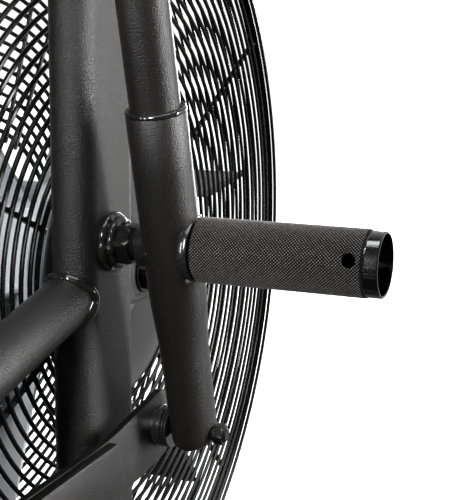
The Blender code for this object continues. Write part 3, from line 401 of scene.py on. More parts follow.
def prism(bm, outline, low, high, place, edge=0.001, slot=0):
    """Plate or bar of an outline in local XY, with both rims rounded over."""
    rings = []
    for z, way, angles in ((low, 1, (90, 45, 0)), (high, -1, (0, 45, 90))):
        for angle in angles:
            a = math.radians(angle)
            shrink = edge * (1 - math.cos(a))
            rise = edge * (1 - math.sin(a))
            points = inset(outline, shrink) if shrink > 1e-9 else [Vector(p[:2]) for p in outline]
            rings.append([place @ Vector((p.x, p.y, z + way * rise)) for p in points])
    loft(bm, rings, slot=slot)


def arc(centre, radius, start, end, count):
    step = (end - start) / count
    return [(centre[0] + radius * math.cos(start + i * step),
             centre[1] + radius * math.sin(start + i * step)) for i in range(count + 1)]


def two_circles(first, radius1, second, radius2, count=24):
    """The outline of a belt round two circles."""
    gap = Vector(second) - Vector(first)
    heading = math.atan2(gap.y, gap.x)
    half = math.acos((radius1 - radius2) / gap.length)
    return (arc(second, radius2, heading - half, heading + half, count)
            + arc(first, radius1, heading + half, heading - half + math.tau, count))


def obround_outline(width, depth, count=16):
    """Width across local X, depth across local Y, with half-round ends."""
    radius, reach = width / 2, (depth - width) / 2
    return (arc((0, reach), radius, 0.0, math.pi, count)
            + arc((0, -reach), radius, math.pi, math.tau, count))


def rounded_rectangle(width, height, radius, count=6):
    points = []
    for x, y, start in ((1, 1, 0), (-1, 1, 1), (-1, -1, 2), (1, -1, 3)):
        points += arc((x * (width / 2 - radius), y * (height / 2 - radius)), radius,
                      start * math.pi / 2, (start + 1) * math.pi / 2, count)
    return points


def along(start, end):
    """Local Z runs from start to end, local Y as near world Y as it can; the origin is at the start."""
    start, end = Vector(start), Vector(end)
    run = (end - start).normalized()
    guide = Vector((0, 1, 0)) if abs(run.y) < 0.999 else Vector((0, 0, 1))
    depth = (guide - run * guide.dot(run)).normalized()
    return Matrix.Translation(start) @ Matrix((depth.cross(run), depth, run)).transposed().to_4x4()


def bar(bm, start, end, width, depth, edge=0.002, count=16):
    length = (Vector(end) - Vector(start)).length
    prism(bm, obround_outline(width, depth, count), 0.0, length, along(start, end), edge)


def rounded_box(bm, centre, size, radius, turn=None, segments=4, slot=0):
    """A box with rounded edges, turned about its centre if a turn is given."""
    made = bmesh.ops.create_cube(bm, size=1.0)["verts"]
    bmesh.ops.scale(bm, vec=Vector(size), verts=made)
    edges = list({edge for vertex in made for edge in vertex.link_edges})
    faces = bmesh.ops.bevel(bm, geom=edges, offset=radius, segments=segments, affect="EDGES",
                            profile=0.5)
    made = list({vertex for face in faces["faces"] for vertex in face.verts})
    if turn is not None:
        bmesh.ops.transform(bm, matrix=turn.to_4x4(), verts=made)
    bmesh.ops.translate(bm, vec=Vector(centre), verts=made)
    for face in {face for vertex in made for face in vertex.link_faces}:
        face.material_index = slot


def blob(bm, centre, radii):
    """An ellipsoid of rings across X."""
    centre, rings, rows = Vector(centre), [], 6
    for k in range(rows + 1):
        lean = math.pi * k / rows
        x, across = radii[0] * math.cos(lean), math.sin(lean)
        around = circle(10) if 0 < k < rows else [(0, 0)]
        rings.append([centre + Vector((x, radii[1] * across * c, radii[2] * across * s))
                      for c, s in around])
    loft(bm, rings)


def weld(bm, path, radius, seed, pitch=0.005, closed=True, slot=0, lumps=0.22):
    """A weld bead: a bar along the path that swells and wanders a little at each ripple."""
    points = [Vector(point) for point in path]
    count = len(points)
    run = sum((points[(i + 1) % count] - points[i]).length for i in range(count if closed else count - 1))
    steps = max(24, int(run / pitch) * 6)
    dense = []
    for i in range(steps):
        t = i / steps * (count if closed else count - 1)
        k = int(t)
        dense.append(points[k % count].lerp(points[(k + 1) % count], t - k))
    ripples = int(run / pitch)
    radii = []
    for i, point in enumerate(dense):
        phase = (i / steps * ripples) % 1.0
        lump = noise.noise(point * 190.0 + Vector((seed, 0, 0)))
        radii.append(radius * (0.94 + 0.08 * math.sin(math.pi * phase) + lumps * lump))
    tube(bm, dense, radii, sides=12, closed=closed, slot=slot)


def hexagon(bm, place, across_flats, low, high, chamfer=0.001, slot=0):
    """Nut or bolt head: a hexagon whose corners are turned down at both faces."""
    corner = across_flats / math.sqrt(3.0)
    rings = []
    steps = 48
    for z, trim in ((low, chamfer), (low + chamfer, 0.0), (high - chamfer, 0.0), (high, chamfer)):
        ring = []
        for k in range(steps):
            a = math.tau * k / steps
            local = (a + math.pi / 6) % (math.pi / 3) - math.pi / 6
            reach = min(across_flats / 2 / math.cos(local), corner - trim * 1.4)
            ring.append(place @ Vector((reach * math.cos(a), reach * math.sin(a), z)))
        rings.append(ring)
    loft(bm, rings, slot=slot)


def mesh_of(bm, name):
    """The bmesh as a mesh with its faces turned outwards."""
    bmesh.ops.recalc_face_normals(bm, faces=bm.faces)
    mesh = bpy.data.meshes.new(name)
    bm.to_mesh(mesh)
    bm.free()
    return mesh


def piece(name, bm, body, looks, nodes=(), smooth=40.0):
    """The bmesh as an object that rides on a body, takes a slot's finish and replaces CAD nodes."""
    mesh = mesh_of(bm, name)
    obj = linked(name, mesh)
    for look in (looks,) if isinstance(looks, str) else looks:
        mesh.materials.append(LOOKS[look])
    mesh.shade_smooth()
    mesh.set_sharp_from_angle(angle=math.radians(smooth))
    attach(obj, body)
    if nodes:
        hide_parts(*nodes)
    return obj


def turned(name, body, look, profile, place, steps=48, nodes=(), smooth=40.0):
    """A piece that is one solid of revolution."""
    bm = bmesh.new()
    lathe(bm, profile, place, steps)
    return piece(name, bm, body, look, nodes, smooth)


def bead_piece(name, bm, body="frame"):
    """The bmesh as painted weld beads."""
    piece(name, bm, body, "weld", smooth=60)


def outward(side, spot):
    """Turns local Z to world X, outwards on the given side; the origin is at the spot."""
    return Matrix.Translation(spot) @ Matrix.Rotation(side * math.pi / 2, 4, "Y")


def side_plane(x=0, y=0, z=0, out=1, up=1):
    """Turns local X to world Y and local Y to world Z, so that local Z runs along world X."""
    return Matrix(((0, 0, out, x), (1, 0, 0, y), (0, up, 0, z), (0, 0, 0, 1)))


def at_face(side, x, y=0.0, z=0.0):
    """A point given outboard of an upright's face and from the pivot's axis."""
    return Vector((side * (FACE_X + x), PIVOT_Y + y, PIVOT_Z + z))


def pivot_place(side):
    return outward(side, (side * FACE_X, PIVOT_Y, PIVOT_Z))


# ---- fan cage ------------------------------------------------------------------------------
RING_FIRST, RING_PITCH, RING_COUNT = 0.1263, 0.01154, 23
SPOKE_ANGLES = [math.radians(angle) for angle in (31.3, 92.6, 155.3, 208.0, 260.5, 313.0)]
FAR_SPOKE_ANGLES = [math.radians(9.0 * pair + 60.0 * k) for k in range(6) for pair in (0, 1)]
RIM_SHIFT = 0.0055
HOOPS = (0.0012, -0.0031, -0.0074) + tuple(-0.022 - 0.0085 * k for k in range(13)) + (-0.1325,)
CROSS_ANGLES = [math.radians(angle) for angle in (83, 173, 263, 353)]


def fan_circle(x, radius, count=112):
    return [Vector((x, FAN_Y + y, FAN_Z + z)) for y, z in circle(count, radius)]


def fan_point(x, radius, angle):
    return Vector((x, FAN_Y + radius * math.cos(angle), FAN_Z + radius * math.sin(angle)))


def make_cage_face(name, x, inward, node, angles, thickness):
    bm = bmesh.new()
    for k in range(RING_COUNT):
        radius = RING_FIRST + k * RING_PITCH
        tube(bm, fan_circle(x, radius), 0.0019, sides=8, closed=True)
    rim = x + (RIM_SHIFT if inward < 0 else 0.0)
    tube(bm, fan_circle(rim, GUARD_RADIUS, 144), 0.002, sides=8, closed=True)
    tube(bm, fan_circle(x + inward * 0.0006, 0.116), 0.0022, sides=8, closed=True)
    for angle in angles:
        bend = fan_point(x + inward * 0.004, GUARD_RADIUS - 0.01, angle)
        tip = fan_point(x + inward * 0.002, GUARD_RADIUS - 0.0042, angle)
        tube(bm, [fan_point(x + inward * 0.0038, 0.108, angle), bend, tip], thickness, sides=10,
             round_ends=True)
        for k in range(RING_COUNT):
            spot = fan_point(x + inward * 0.0016, RING_FIRST + k * RING_PITCH, angle)
            blob(bm, spot, (0.0022, 0.0026, 0.0026))
    piece(name, bm, "frame", "wire", (node,))


def make_cage_side():
    bm = bmesh.new()
    for offset in HOOPS:
        tube(bm, fan_circle(GUARD_RIGHT_X + offset, GUARD_RADIUS, 144), 0.0016, sides=8, closed=True)
    for angle in CROSS_ANGLES:
        tube(bm, [fan_point(x, GUARD_RADIUS - 0.0032, angle) for x in (GUARD_LEFT_X, GUARD_RIGHT_X)],
             0.0016, sides=8, round_ends=True)
    piece("cage_side_wires", bm, "frame", "wire", ("guard_band",))


def make_hub_cover():
    r = HUB_COVER_RADIUS
    profile = [
        (0.02, 0.0014), (0.0215, 0.0024), (0.038, 0.0024), (0.04, 0.0014), (0.044, 0.0012),
        (0.0455, 0.002), (0.05, 0.002), (0.0512, 0.0012), (0.108, 0.0012), (0.1105, 0.002),
        (0.113, 0.0023), (0.115, 0.0016), (r, 0.0), (r, -0.0005), (0.02, -0.0005),
    ]
    turned("hub_cover_plate", "frame", "cover", profile,
           outward(1, (GUARD_RIGHT_X + 0.0034, FAN_Y, FAN_Z)), 128, ("hub_cover",), 50)


def make_fan():
    bm = bmesh.new()
    place = outward(1, (ROTOR_X, FAN_Y, FAN_Z))
    profile = [
        (0.03, 0.04), (0.048, 0.0355), (0.052, 0.033), (0.066, 0.031), (0.07, 0.028),
        (0.07, 0.006), (0.068, 0.004), (0.068, -0.004), (0.07, -0.006), (0.07, -0.028),
        (0.066, -0.031), (0.03, -0.04), (0.018, -0.04), (0.018, -0.07), (0.01, -0.07),
        (0.01, 0.056), (0.018, 0.056), (0.018, 0.04),
    ]
    lathe(bm, profile, place, 72)
    rivet = [(0, 0.0052), (0.0026, 0.0044), (0.004, 0.002), (0.004, -0.0052), (0, -0.0052)]
    for n in range(BLADES):
        turn = Matrix.Rotation(math.tau * n / BLADES + BLADE_PHASE, 4, "X")
        stand = Matrix.Translation((ROTOR_X, FAN_Y, FAN_Z)) @ turn
        arm = [(-0.021, 0.06), (0.021, 0.06), (0.015, 0.11), (0.015, 0.262),
               (-0.015, 0.262), (-0.015, 0.11)]
        prism(bm, arm, -0.002, 0.002, stand, 0.0006)
        blade = [(x, y + 0.3) for x, y in rounded_rectangle(0.1, 0.11, 0.01, 5)]
        prism(bm, blade, -0.0036, -0.002, stand, 0.0005, slot=1)
        for x in (-0.0485, 0.0485):
            rounded_box(bm, stand @ Vector((x, 0.3, 0.0005)), (0.002, 0.092, 0.007), 0.0008,
                        turn, 2, 1)
        for y in (0.252, 0.084):
            for x in (-0.009, 0.009):
                lathe(bm, rivet, stand @ Matrix.Translation((x, y, 0)), 12)
    # The hub and the arms take the near-white fan look, which holds painted light.
    piece("fan_wheel", bm, "fan", ("fan", "paint"), ("fan_rotor",))


def make_fan_axle():
    bm = bmesh.new()
    for side in (1, -1):
        place = outward(side, (0, FAN_Y, FAN_Z))
        lathe(bm, [(0, 0.1285), (0.0066, 0.1285), (0.0085, 0.1268), (0.0085, 0.0), (0, 0.0)], place, 32)
        lathe(bm, [(0.007, 0.0962), (0.0112, 0.0962), (0.012, 0.097), (0.012, 0.1109),
                   (0.0112, 0.1117), (0.007, 0.1117)], place, 40)
        lathe(bm, [(0.0075, 0.1181), (0.0178, 0.1181), (0.0182, 0.1187), (0.0182, 0.1196),
                   (0.0178, 0.12), (0.0075, 0.12)], place, 40)
        hexagon(bm, place, 0.027, 0.12, 0.1265)
    piece("fan_spindle", bm, "frame", "bolt", ("fan_axle",))


# ---- uprights and tubes --------------------------------------------------------------------
def make_upright(side, name):
    x, y = side * (FACE_X - UPRIGHT_WIDTH / 2), UPRIGHT_Y
    low, high = FOOT_PAD + FOOT_BAR_HEIGHT, UPRIGHT_TOP - CAP_HEIGHT
    bm = bmesh.new()
    bar(bm, (x, y, low), (x, y, high), UPRIGHT_WIDTH, UPRIGHT_DEPTH, 0.0008, 24)
    plate_x, plate_start = side * 0.115, PIVOT_Y + 0.04
    reach = FAN_Y + 0.024 - plate_start
    prism(bm, rounded_rectangle(reach, 0.048, 0.01), -0.003, 0.003,
          side_plane(plate_x, plate_start + reach / 2, FAN_Z), 0.0006)
    piece(f"upright_tube_{name}", bm, "frame", "paint", (f"upright_{name}",))
    bm = bmesh.new()
    around = ((0.0036, -0.022), (0.0036, 0.022), (-0.0036, 0.022), (-0.0036, -0.022))
    weld(bm, [(plate_x + dx, UPRIGHT_Y + 0.0415, FAN_Z + dz) for dx, dz in around], 0.0022, side)
    foot = [Vector((x + u, y + v, low + 0.0006)) for u, v in
            obround_outline(UPRIGHT_WIDTH + 0.003, UPRIGHT_DEPTH + 0.001, 16)]
    weld(bm, [p for p in foot if abs(p.y - y) < FOOT_BAR_DEPTH / 2 + 0.004], 0.0026, side + 4)
    bead_piece(f"upright_welds_{name}", bm)
    bm = bmesh.new()
    prism(bm, obround_outline(UPRIGHT_WIDTH, UPRIGHT_DEPTH, 24), 0.0002, CAP_HEIGHT,
          Matrix.Translation((x, y, high)), 0.0025)
    piece(f"upright_cap_{name}", bm, "frame", "plastic")


def side_tube_z(y):
    """Height of the side tube's axis at a given Y."""
    return PIVOT_Z - 0.0485 - (PIVOT_Y - 0.0617 - y) * math.tan(SIDE_TUBE_SLOPE)


def rear_of_upright(dx):
    """Y of the upright's rear surface at a distance dx from its middle plane."""
    radius = UPRIGHT_WIDTH / 2
    return UPRIGHT_Y - (UPRIGHT_DEPTH - UPRIGHT_WIDTH) / 2 - math.sqrt(max(0.0, radius**2 - dx**2))


def make_side_tube(side, name):
    x = side * (FACE_X - 0.02)
    bm = bmesh.new()
    path = [Vector((x, y, side_tube_z(y))) for y in (PIVOT_Y - 0.02, CRANK_Y + 0.01)]
    tube(bm, path, SIDE_TUBE_RADIUS, sides=48)
    piece(f"side_bar_{name}", bm, "frame", "paint", (f"side_tube_{name}",))
    bm = bmesh.new()
    ring = []
    for dx, dn in circle(48, SIDE_TUBE_RADIUS - 0.0004):
        # A little less than dx, so that the ring has no corner where the tube is the wider one.
        y = rear_of_upright(0.9 * dx) - 0.0012
        ring.append(Vector((x + dx, y, side_tube_z(y) + dn / math.cos(SIDE_TUBE_SLOPE))))
    weld(bm, ring, 0.0044, 3 + side, pitch=0.012, lumps=0.1)
    bead_piece(f"side_weld_{name}", bm)


# ---- arms ----------------------------------------------------------------------------------
def arm_place(side):
    return (Matrix.Translation((side * (FACE_X + ARM_OFFSET), PIVOT_Y, PIVOT_Z))
            @ Matrix.Rotation(ARM_LEAN[side], 4, "X"))


LEVER_TAPER_START, LEVER_TAPER_END, LEVER_PRESSED = 0.03, 0.09, 0.0036
LEVER_TIP_START, LEVER_TIP = 0.162, 0.009


def lever_section(height):
    """Half widths of the lever across X and Y."""
    down = -height
    if down < LEVER_TAPER_START:
        half = ARM_RADIUS
    elif down < LEVER_TAPER_END:
        t = (down - LEVER_TAPER_START) / 0.06
        half = ARM_RADIUS - LEVER_PRESSED * t * t * (3 - 2 * t)
    else:
        half = max(0.0168, ARM_RADIUS - LEVER_PRESSED - 0.014 * (down - LEVER_TAPER_END))
    shrink = 1.0
    if down > LEVER_TIP_START:
        t = min(1.0, (down - LEVER_TIP_START) / LEVER_TIP)
        shrink = math.sqrt(max(0.0, 1 - t * t))
    return half * shrink, ARM_RADIUS * (0.35 + 0.65 * shrink if shrink > 0 else 0.0)


def make_lever(side, name, body):
    place = arm_place(side)
    heights = [SLEEVE_TOP - 0.0005, SLEEVE_TOP - 0.002, 0.06, 0.0, -LEVER_TAPER_START]
    heights += [-LEVER_TAPER_START - 0.06 * k / 12 for k in range(1, 13)]
    heights += [-0.11, -0.13, -0.15]
    heights += [-LEVER_TIP_START - LEVER_TIP * math.sin(math.pi / 2 * k / 8) for k in range(9)]
    rings = []
    for height in heights:
        half_x, half_y = lever_section(height)
        if height > SLEEVE_TOP - 0.001:
            half_x = half_y = ARM_RADIUS - 0.001
        around = circle(56) if half_x >= 1e-6 else [(0, 0)]
        rings.append([place @ Vector((half_x * c, half_y * s, height)) for c, s in around])
    bm = bmesh.new()
    loft(bm, rings)
    piece(f"lever_{name}", bm, body, "arm_paint", (f"arm_lever_{name}",), 35)
    # The bearing housing across the lever, with its bright-edged rim next to the peg.
    profile = [
        (0.014, 0.0268), (0.0176, 0.0268), (0.0185, 0.0277), (0.0185, 0.064), (0.0222, 0.064),
        (0.0238, 0.065), (0.0241, 0.0664), (0.0241, 0.07), (0.0234, 0.0715), (0.014, 0.0718),
    ]
    bm = bmesh.new()
    lathe(bm, profile, pivot_place(side), 72)
    for middle in (math.pi / 2, -math.pi / 2):
        spots = []
        for k in range(9):
            angle = middle + 0.42 * (k / 4 - 1)
            spots.append(at_face(side, 0.0672, 0.0236 * math.cos(angle), 0.0236 * math.sin(angle)))
        weld(bm, spots, 0.0024, 21 + side, closed=False, slot=1)
    piece(f"lever_housing_{name}", bm, body, ("gloss", "weld"), smooth=45)
    bm = bmesh.new()
    lip = [place @ Vector((x, y, SLEEVE_TOP + 0.0004)) for x, y in circle(48, 0.02)]
    weld(bm, lip, 0.0022, 11 + side)
    bead_piece(f"sleeve_weld_{name}", bm, body)


def make_handle(side, name, body):
    place = arm_place(side)
    centre = Vector((0, -HANDLE_BEND_RADIUS, HANDLE_STRAIGHT))
    path = [Vector((0, 0, SLEEVE_TOP - 0.01)), Vector((0, 0, HANDLE_STRAIGHT - 0.001))]
    path += [centre + HANDLE_BEND_RADIUS * Vector((0, math.cos(HANDLE_BEND * k / 20),
                                                   math.sin(HANDLE_BEND * k / 20))) for k in range(21)]
    ahead = Vector((0, -math.sin(HANDLE_BEND), math.cos(HANDLE_BEND)))
    path.append(path[-1] + ahead * HANDLE_TAIL)
    bm = bmesh.new()
    tube(bm, [place @ point for point in path], HANDLE_RADIUS, sides=48)
    piece(f"handlebar_{name}", bm, body, "arm_paint", (f"handle_tube_{name}",))
    end = place @ path[-1]
    ahead = (place.to_3x3() @ ahead).normalized()
    stand = Matrix.Translation(end) @ ahead.to_track_quat("Z", "X").to_matrix().to_4x4()
    outer, inner = 0.0221, HANDLE_RADIUS + 0.0003
    profile = [(0.0, 0.004), (0.011, 0.004), (0.0125, 0.0034), (0.019, 0.0038), (0.0214, 0.0022),
               (0.0225, -0.001), (0.0225, -0.007), (0.0216, -0.0085)]
    z = -0.0095
    while z > 0.016 - HANDLE_TAIL:      # one rib of the grip
        profile += [(outer - 0.0007, z), (outer, z - 0.001), (outer, z - 0.003),
                    (outer - 0.0007, z - 0.004)]
        z -= 0.0045
    profile += [(0.0216, 0.014 - HANDLE_TAIL), (0.0225, 0.012 - HANDLE_TAIL),
                (0.0225, 0.006 - HANDLE_TAIL), (0.0212, 0.0044 - HANDLE_TAIL),
                (inner, 0.0042 - HANDLE_TAIL), (inner, 0.0003), (0.0, 0.0003)]
    turned(f"handle_grip_{name}", body, "foam", profile, stand, 64,
           (f"grip_{name}",), 50)


def make_pivot(side, name):
    place = pivot_place(side)
    bm = bmesh.new()
    lathe(bm, [(0, 0.0), (AXLE_RADIUS, 0.0), (AXLE_RADIUS, 0.0915), (0.0095, 0.093), (0, 0.093)],
          place, 48)
    hexagon(bm, place, 0.0288, 0.008, 0.02, 0.0014)
    lathe(bm, [(0.008, 0.0198), (0.012, 0.0198), (0.0124, 0.0206), (0.0124, 0.0226),
               (0.0116, 0.0232), (0.0134, 0.0238), (0.0138, 0.0244), (0.0136, 0.0258),
               (0.013, 0.0262), (0.008, 0.0262)], place, 48)
    hexagon(bm, place, 0.029, 0.085, 0.093, 0.0012)
    piece(f"pivot_bolt_{name}", bm, "frame", "bolt", (f"pivot_axle_{name}",))
    bm = bmesh.new()
    for radius, x, bead, seed in ((0.0198, 0.0018, 0.0036, 1), (0.0164, 0.0068, 0.0033, 2)):
        ring = [at_face(side, x, y, z) for y, z in circle(40, radius)]
        weld(bm, ring, bead, seed + 5 * side, pitch=0.0085, lumps=0.34)
    lathe(bm, [(0.013, 0.0), (0.0205, 0.0), (0.0205, 0.001), (0.017, 0.0042), (0.016, 0.0085),
               (0.013, 0.0085)], place, 48)
    bead_piece(f"pivot_weld_{name}", bm)


def make_peg(side, name):
    """The peg's knurl is cut as real diamonds: a grid whose points are high and low in turn."""
    place = pivot_place(side)
    bm = bmesh.new()
    around = KNURL_STARTS * 2

    def ring_at(z, radii):
        return [bm.verts.new(place @ Vector((radius * c, radius * s, z)))
                for radius, (c, s) in zip(radii, circle(around))]

    low, high = PEG_ROOT + 0.0016, PEG_KNURL_END - 0.0006
    rows = int(round((high - low) / (math.tau * PEG_RADIUS / around)))
    grid = []
    for row in range(rows + 1):
        trim = 0.00035 if row in (0, rows) else 0.0
        grid.append(ring_at(low + (high - low) * row / rows, [
            PEG_RADIUS - (0.0 if (row + k) % 2 else KNURL_DEPTH) - trim for k in range(around)]))
    for row in range(rows):
        for k in range(around):
            j = (k + 1) % around
            a, b, c, d = grid[row][k], grid[row][j], grid[row + 1][j], grid[row + 1][k]
            halves = ((a, b, d), (b, c, d)) if (row + k) % 2 else ((a, b, c), (a, c, d))
            for corners in halves:
                bm.faces.new(corners)
    start = [(AXLE_RADIUS + 0.0005, PEG_ROOT + 0.0001), (PEG_RADIUS - 0.0026, PEG_ROOT + 0.0001),
             (PEG_RADIUS - 0.0014, PEG_ROOT + 0.0006)]
    finish = [(PEG_RADIUS - 0.0016, PEG_KNURL_END + 0.0004),
              (PEG_RADIUS - 0.0009, PEG_KNURL_END + 0.0012),
              (PEG_RADIUS - 0.0009, PEG_END - 0.001), (PEG_RADIUS - 0.0018, PEG_END),
              (PEG_BORE + 0.0004, PEG_END), (PEG_BORE, PEG_END - 0.0005), (PEG_BORE, 0.0845),
              (AXLE_RADIUS + 0.0005, 0.0845)]
    first = [ring_at(z, [radius] * around) for radius, z in start]
    last = [ring_at(z, [radius] * around) for radius, z in finish]
    for run in (first + [grid[0]], [grid[-1]] + last + [first[0]]):
        for a, b in zip(run, run[1:]):
            for k in range(around):
                j = (k + 1) % around
                bm.faces.new((a[k], a[j], b[j], b[k])).material_index = 1
    peg = piece(f"knurled_peg_{name}", bm, "frame", ("knurl", "chrome"),
                (f"foot_peg_{name}",), 22)
    hole_lean = math.radians(13)
    rear = Vector((0, -math.cos(hole_lean), math.sin(hole_lean)))
    middle = at_face(side, 0.1905)
    drill = bmesh.new()
    tube(drill, [middle + rear * 0.012, middle + rear * 0.03], 0.0052, sides=40)
    cut_with(peg, drill)


def cut_with(obj, bm):
    """Cuts a closed bmesh out of the object and applies it."""
    cutter = linked("cutter", mesh_of(bm, "cutter"))
    for look in obj.data.materials:
        cutter.data.materials.append(look)
    step = obj.modifiers.new("cut", "BOOLEAN")
    step.operation, step.solver, step.object = "DIFFERENCE", "MANIFOLD", cutter
    apply_modifiers(obj)
    bpy.data.objects.remove(cutter, do_unlink=True)


def lower_bolt(side):
    lean = ARM_LEAN[side]
    return Vector((0.0, PIVOT_Y + ARM_REACH * math.sin(lean), PIVOT_Z - ARM_REACH * math.cos(lean)))


def make_arm_bolt(side, name, body):
    base = lower_bolt(side)
    place = outward(side, base + Vector((side * FACE_X, 0, 0)))
    bm = bmesh.new()
    lathe(bm, [(0, 0.0275), (0.0057, 0.0275), (0.0057, 0.077), (0.0045, 0.0783), (0, 0.0783)],
          place, 32)
    hexagon(bm, place @ Matrix.Rotation(0.1, 4, "Z"), 0.0148, 0.068, 0.076, 0.0004)
    lathe(bm, [(0.005, 0.075), (0.0062, 0.075), (0.0064, 0.0762), (0.0058, 0.0768), (0.005, 0.0768)],
          place, 32)
    piece(f"foot_bolt_{name}", bm, body, "bolt", (f"arm_bolt_{name}",))
    profile = [(0.0062, 0.0271), (0.016, 0.0271), (0.0169, 0.0278), (0.0169, 0.029), (0.0158, 0.0298),
               (0.0169, 0.0304), (0.0168, 0.0314), (0.016, 0.0319), (0.0062, 0.0319)]
    turned(f"foot_ring_{name}", body, "gloss", profile, place, 56, smooth=30)


# ---- links, cranks and pedals --------------------------------------------------------------
def pin_at(side):
    return Vector((0.0, CRANK_Y, CRANK_Z - side * CRANK_THROW))


def make_link(side, name, body):
    front, pin = lower_bolt(side), pin_at(side)
    run = front - pin
    length = run.length
    place = (Matrix.Translation(pin) @ Matrix.Rotation(math.atan2(run.z, run.y), 4, "X")
             @ side_plane(out=side))
    bm = bmesh.new()
    points = arc((length, 0.0), 0.0285, math.radians(-78), math.radians(82), 22)
    points += smooth_run([(length + 0.0035, 0.0282), (length - 0.04, 0.022), (length - 0.08, 0.016),
                          (length - 0.12, 0.0158)])
    points += arc((0.0, 0.0), 0.017, math.radians(90), math.radians(270), 16)
    points += smooth_run([(length - 0.15, -0.0168), (length - 0.1, -0.025), (length - 0.05, -0.0335),
                          (length - 0.01, -0.03)])
    prism(bm, points, 0.148, 0.154, place, 0.0007)
    rib = [(0.022, -0.0135), (length - 0.15, -0.014), (length - 0.11, -0.02),
           (length - 0.076, -0.0255), (length - 0.071, -0.0235), (length - 0.08, 0.014),
           (length - 0.083, 0.0155), (0.022, 0.0155)]
    prism(bm, smooth_corners(rib, 0.0025), 0.1517, 0.1617, place, 0.0022)
    lathe(bm, [(0.0105, 0.1481), (0.0194, 0.1481), (0.02, 0.1488), (0.02, 0.1612), (0.0194, 0.1619),
               (0.0105, 0.1619)], outward(side, pin), 56)
    # The faces that look up, the plate's cut edges, take near-black matte paint: painted shade.
    bm.normal_update()
    for face in bm.faces:
        if face.normal.z > 0.8:
            face.material_index = 1
    piece(f"link_bar_{name}", bm, body, ("paint", "edge"), (f"link_{name}",), 35)
    profile = [(0.0, 0.15), (0.015, 0.15), (0.0168, 0.1512), (0.0168, 0.156), (0.0158, 0.1572),
               (0.0158, 0.158), (0.0168, 0.1586), (0.0168, 0.1606), (0.016, 0.1614), (0.0, 0.1614)]
    turned(f"link_washers_{name}", body, "gloss", profile, outward(side, front),
           smooth=35)


def smooth_run(points, count=5):
    """Points of a smooth curve through the middle of a run of corners."""
    made = [Vector(points[0])]
    for i in range(1, len(points) - 1):
        before = (Vector(points[i - 1]) + Vector(points[i])) / 2
        after = (Vector(points[i]) + Vector(points[i + 1])) / 2
        corner = Vector(points[i])
        for k in range(count + 1):
            t = k / count
            made.append(before.lerp(corner, t).lerp(corner.lerp(after, t), t))
    made.append(Vector(points[-1]))
    return [(point[0], point[1]) for point in made]


def smooth_corners(points, reach, count=4):
    """A closed outline with each corner rounded back by the reach."""
    made = []
    total = len(points)
    for i in range(total):
        corner = Vector(points[i])
        before = Vector(points[i - 1]) - corner
        after = Vector(points[(i + 1) % total]) - corner
        a = corner + before.normalized() * min(reach, before.length / 2.2)
        b = corner + after.normalized() * min(reach, after.length / 2.2)
        for k in range(count + 1):
            t = k / count
            point = a.lerp(corner, t).lerp(corner.lerp(b, t), t)
            made.append((point[0], point[1]))
    return made


def make_crank(side, name, letter):
    axis = Vector((0.0, CRANK_Y, CRANK_Z))
    flat = Matrix.Translation(axis) @ side_plane(out=side, up=side)
    bm = bmesh.new()
    web = two_circles((0.0, 0.0), 0.026, (0.0, -CRANK_THROW), 0.019)
    arm = two_circles((0.0, -CRANK_THROW), 0.019, (0.0, -CRANK_LENGTH), 0.015)
    prism(bm, web, 0.1371, 0.1461, flat, 0.0012)
    prism(bm, arm, 0.1636, 0.1786, flat, 0.0022)
    down = Vector((0, 0, -side))
    pin, tip = axis + down * CRANK_THROW, axis + down * CRANK_LENGTH
    for spot, profile in (
        (pin, [(0, 0.14), (0.0098, 0.14), (0.0098, 0.165), (0, 0.165)]),
        (pin, [(0, 0.178), (0.011, 0.178), (0.01, 0.18), (0.0055, 0.18), (0.005, 0.1784),
               (0, 0.1784)]),
        (axis, [(0, 0.1455), (0.0135, 0.1455), (0.0128, 0.1475), (0.007, 0.1475), (0.006, 0.1462),
                (0, 0.1462)]),
        (tip, [(0, 0.17), (0.006, 0.17), (0.006, 0.269), (0, 0.269)]),
        (tip, [(0, 0.178), (0.0105, 0.178), (0.0105, 0.18), (0, 0.18)]),
        (tip, [(0, 0.2683), (0.0088, 0.2683), (0.0094, 0.2692), (0.0094, 0.2718), (0.008, 0.273),
               (0, 0.273)]),
    ):
        lathe(bm, profile, outward(side, spot), 40)
    piece(f"crank_arm_{name}", bm, "crank", "bolt", (f"crank_{name}",))
    make_pedal(side, name, letter, tip)


def make_pedal(side, name, letter, tip):
    centre = tip + Vector((side * 0.2245, 0, 0))
    place = outward(side, centre)
    bm = bmesh.new()
    lathe(bm, [(0.0066, -0.0425), (0.011, -0.0425), (0.012, -0.041), (0.0118, -0.02), (0.0108, 0.0),
               (0.0118, 0.02), (0.012, 0.041), (0.011, 0.0425), (0.0066, 0.0425)], place, 40)
    for x in (-0.0375, 0.0375):
        for y in (-0.03, 0.03):
            rounded_box(bm, centre + Vector((x, y, 0)), (0.01, 0.038, 0.0215), 0.003)
    for x in (-0.0125, 0.0125):
        for y in (-0.0285, 0.0285):
            rounded_box(bm, centre + Vector((x, y, 0)), (0.006, 0.036, 0.019), 0.002)
    for y in (-0.0455, 0.0455):
        rounded_box(bm, centre + Vector((0, y, 0)), (0.085, 0.007, 0.024), 0.0025)
        for k in range(9):
            for z in (-0.0108, 0.0108):
                rounded_box(bm, centre + Vector((-0.036 + 0.009 * k, y, z)), (0.004, 0.006, 0.0022), 0.0007,
                            segments=2)
    piece(f"pedal_body_{name}", bm, f"pedal_{letter}", "plastic", (f"pedal_{name}",))


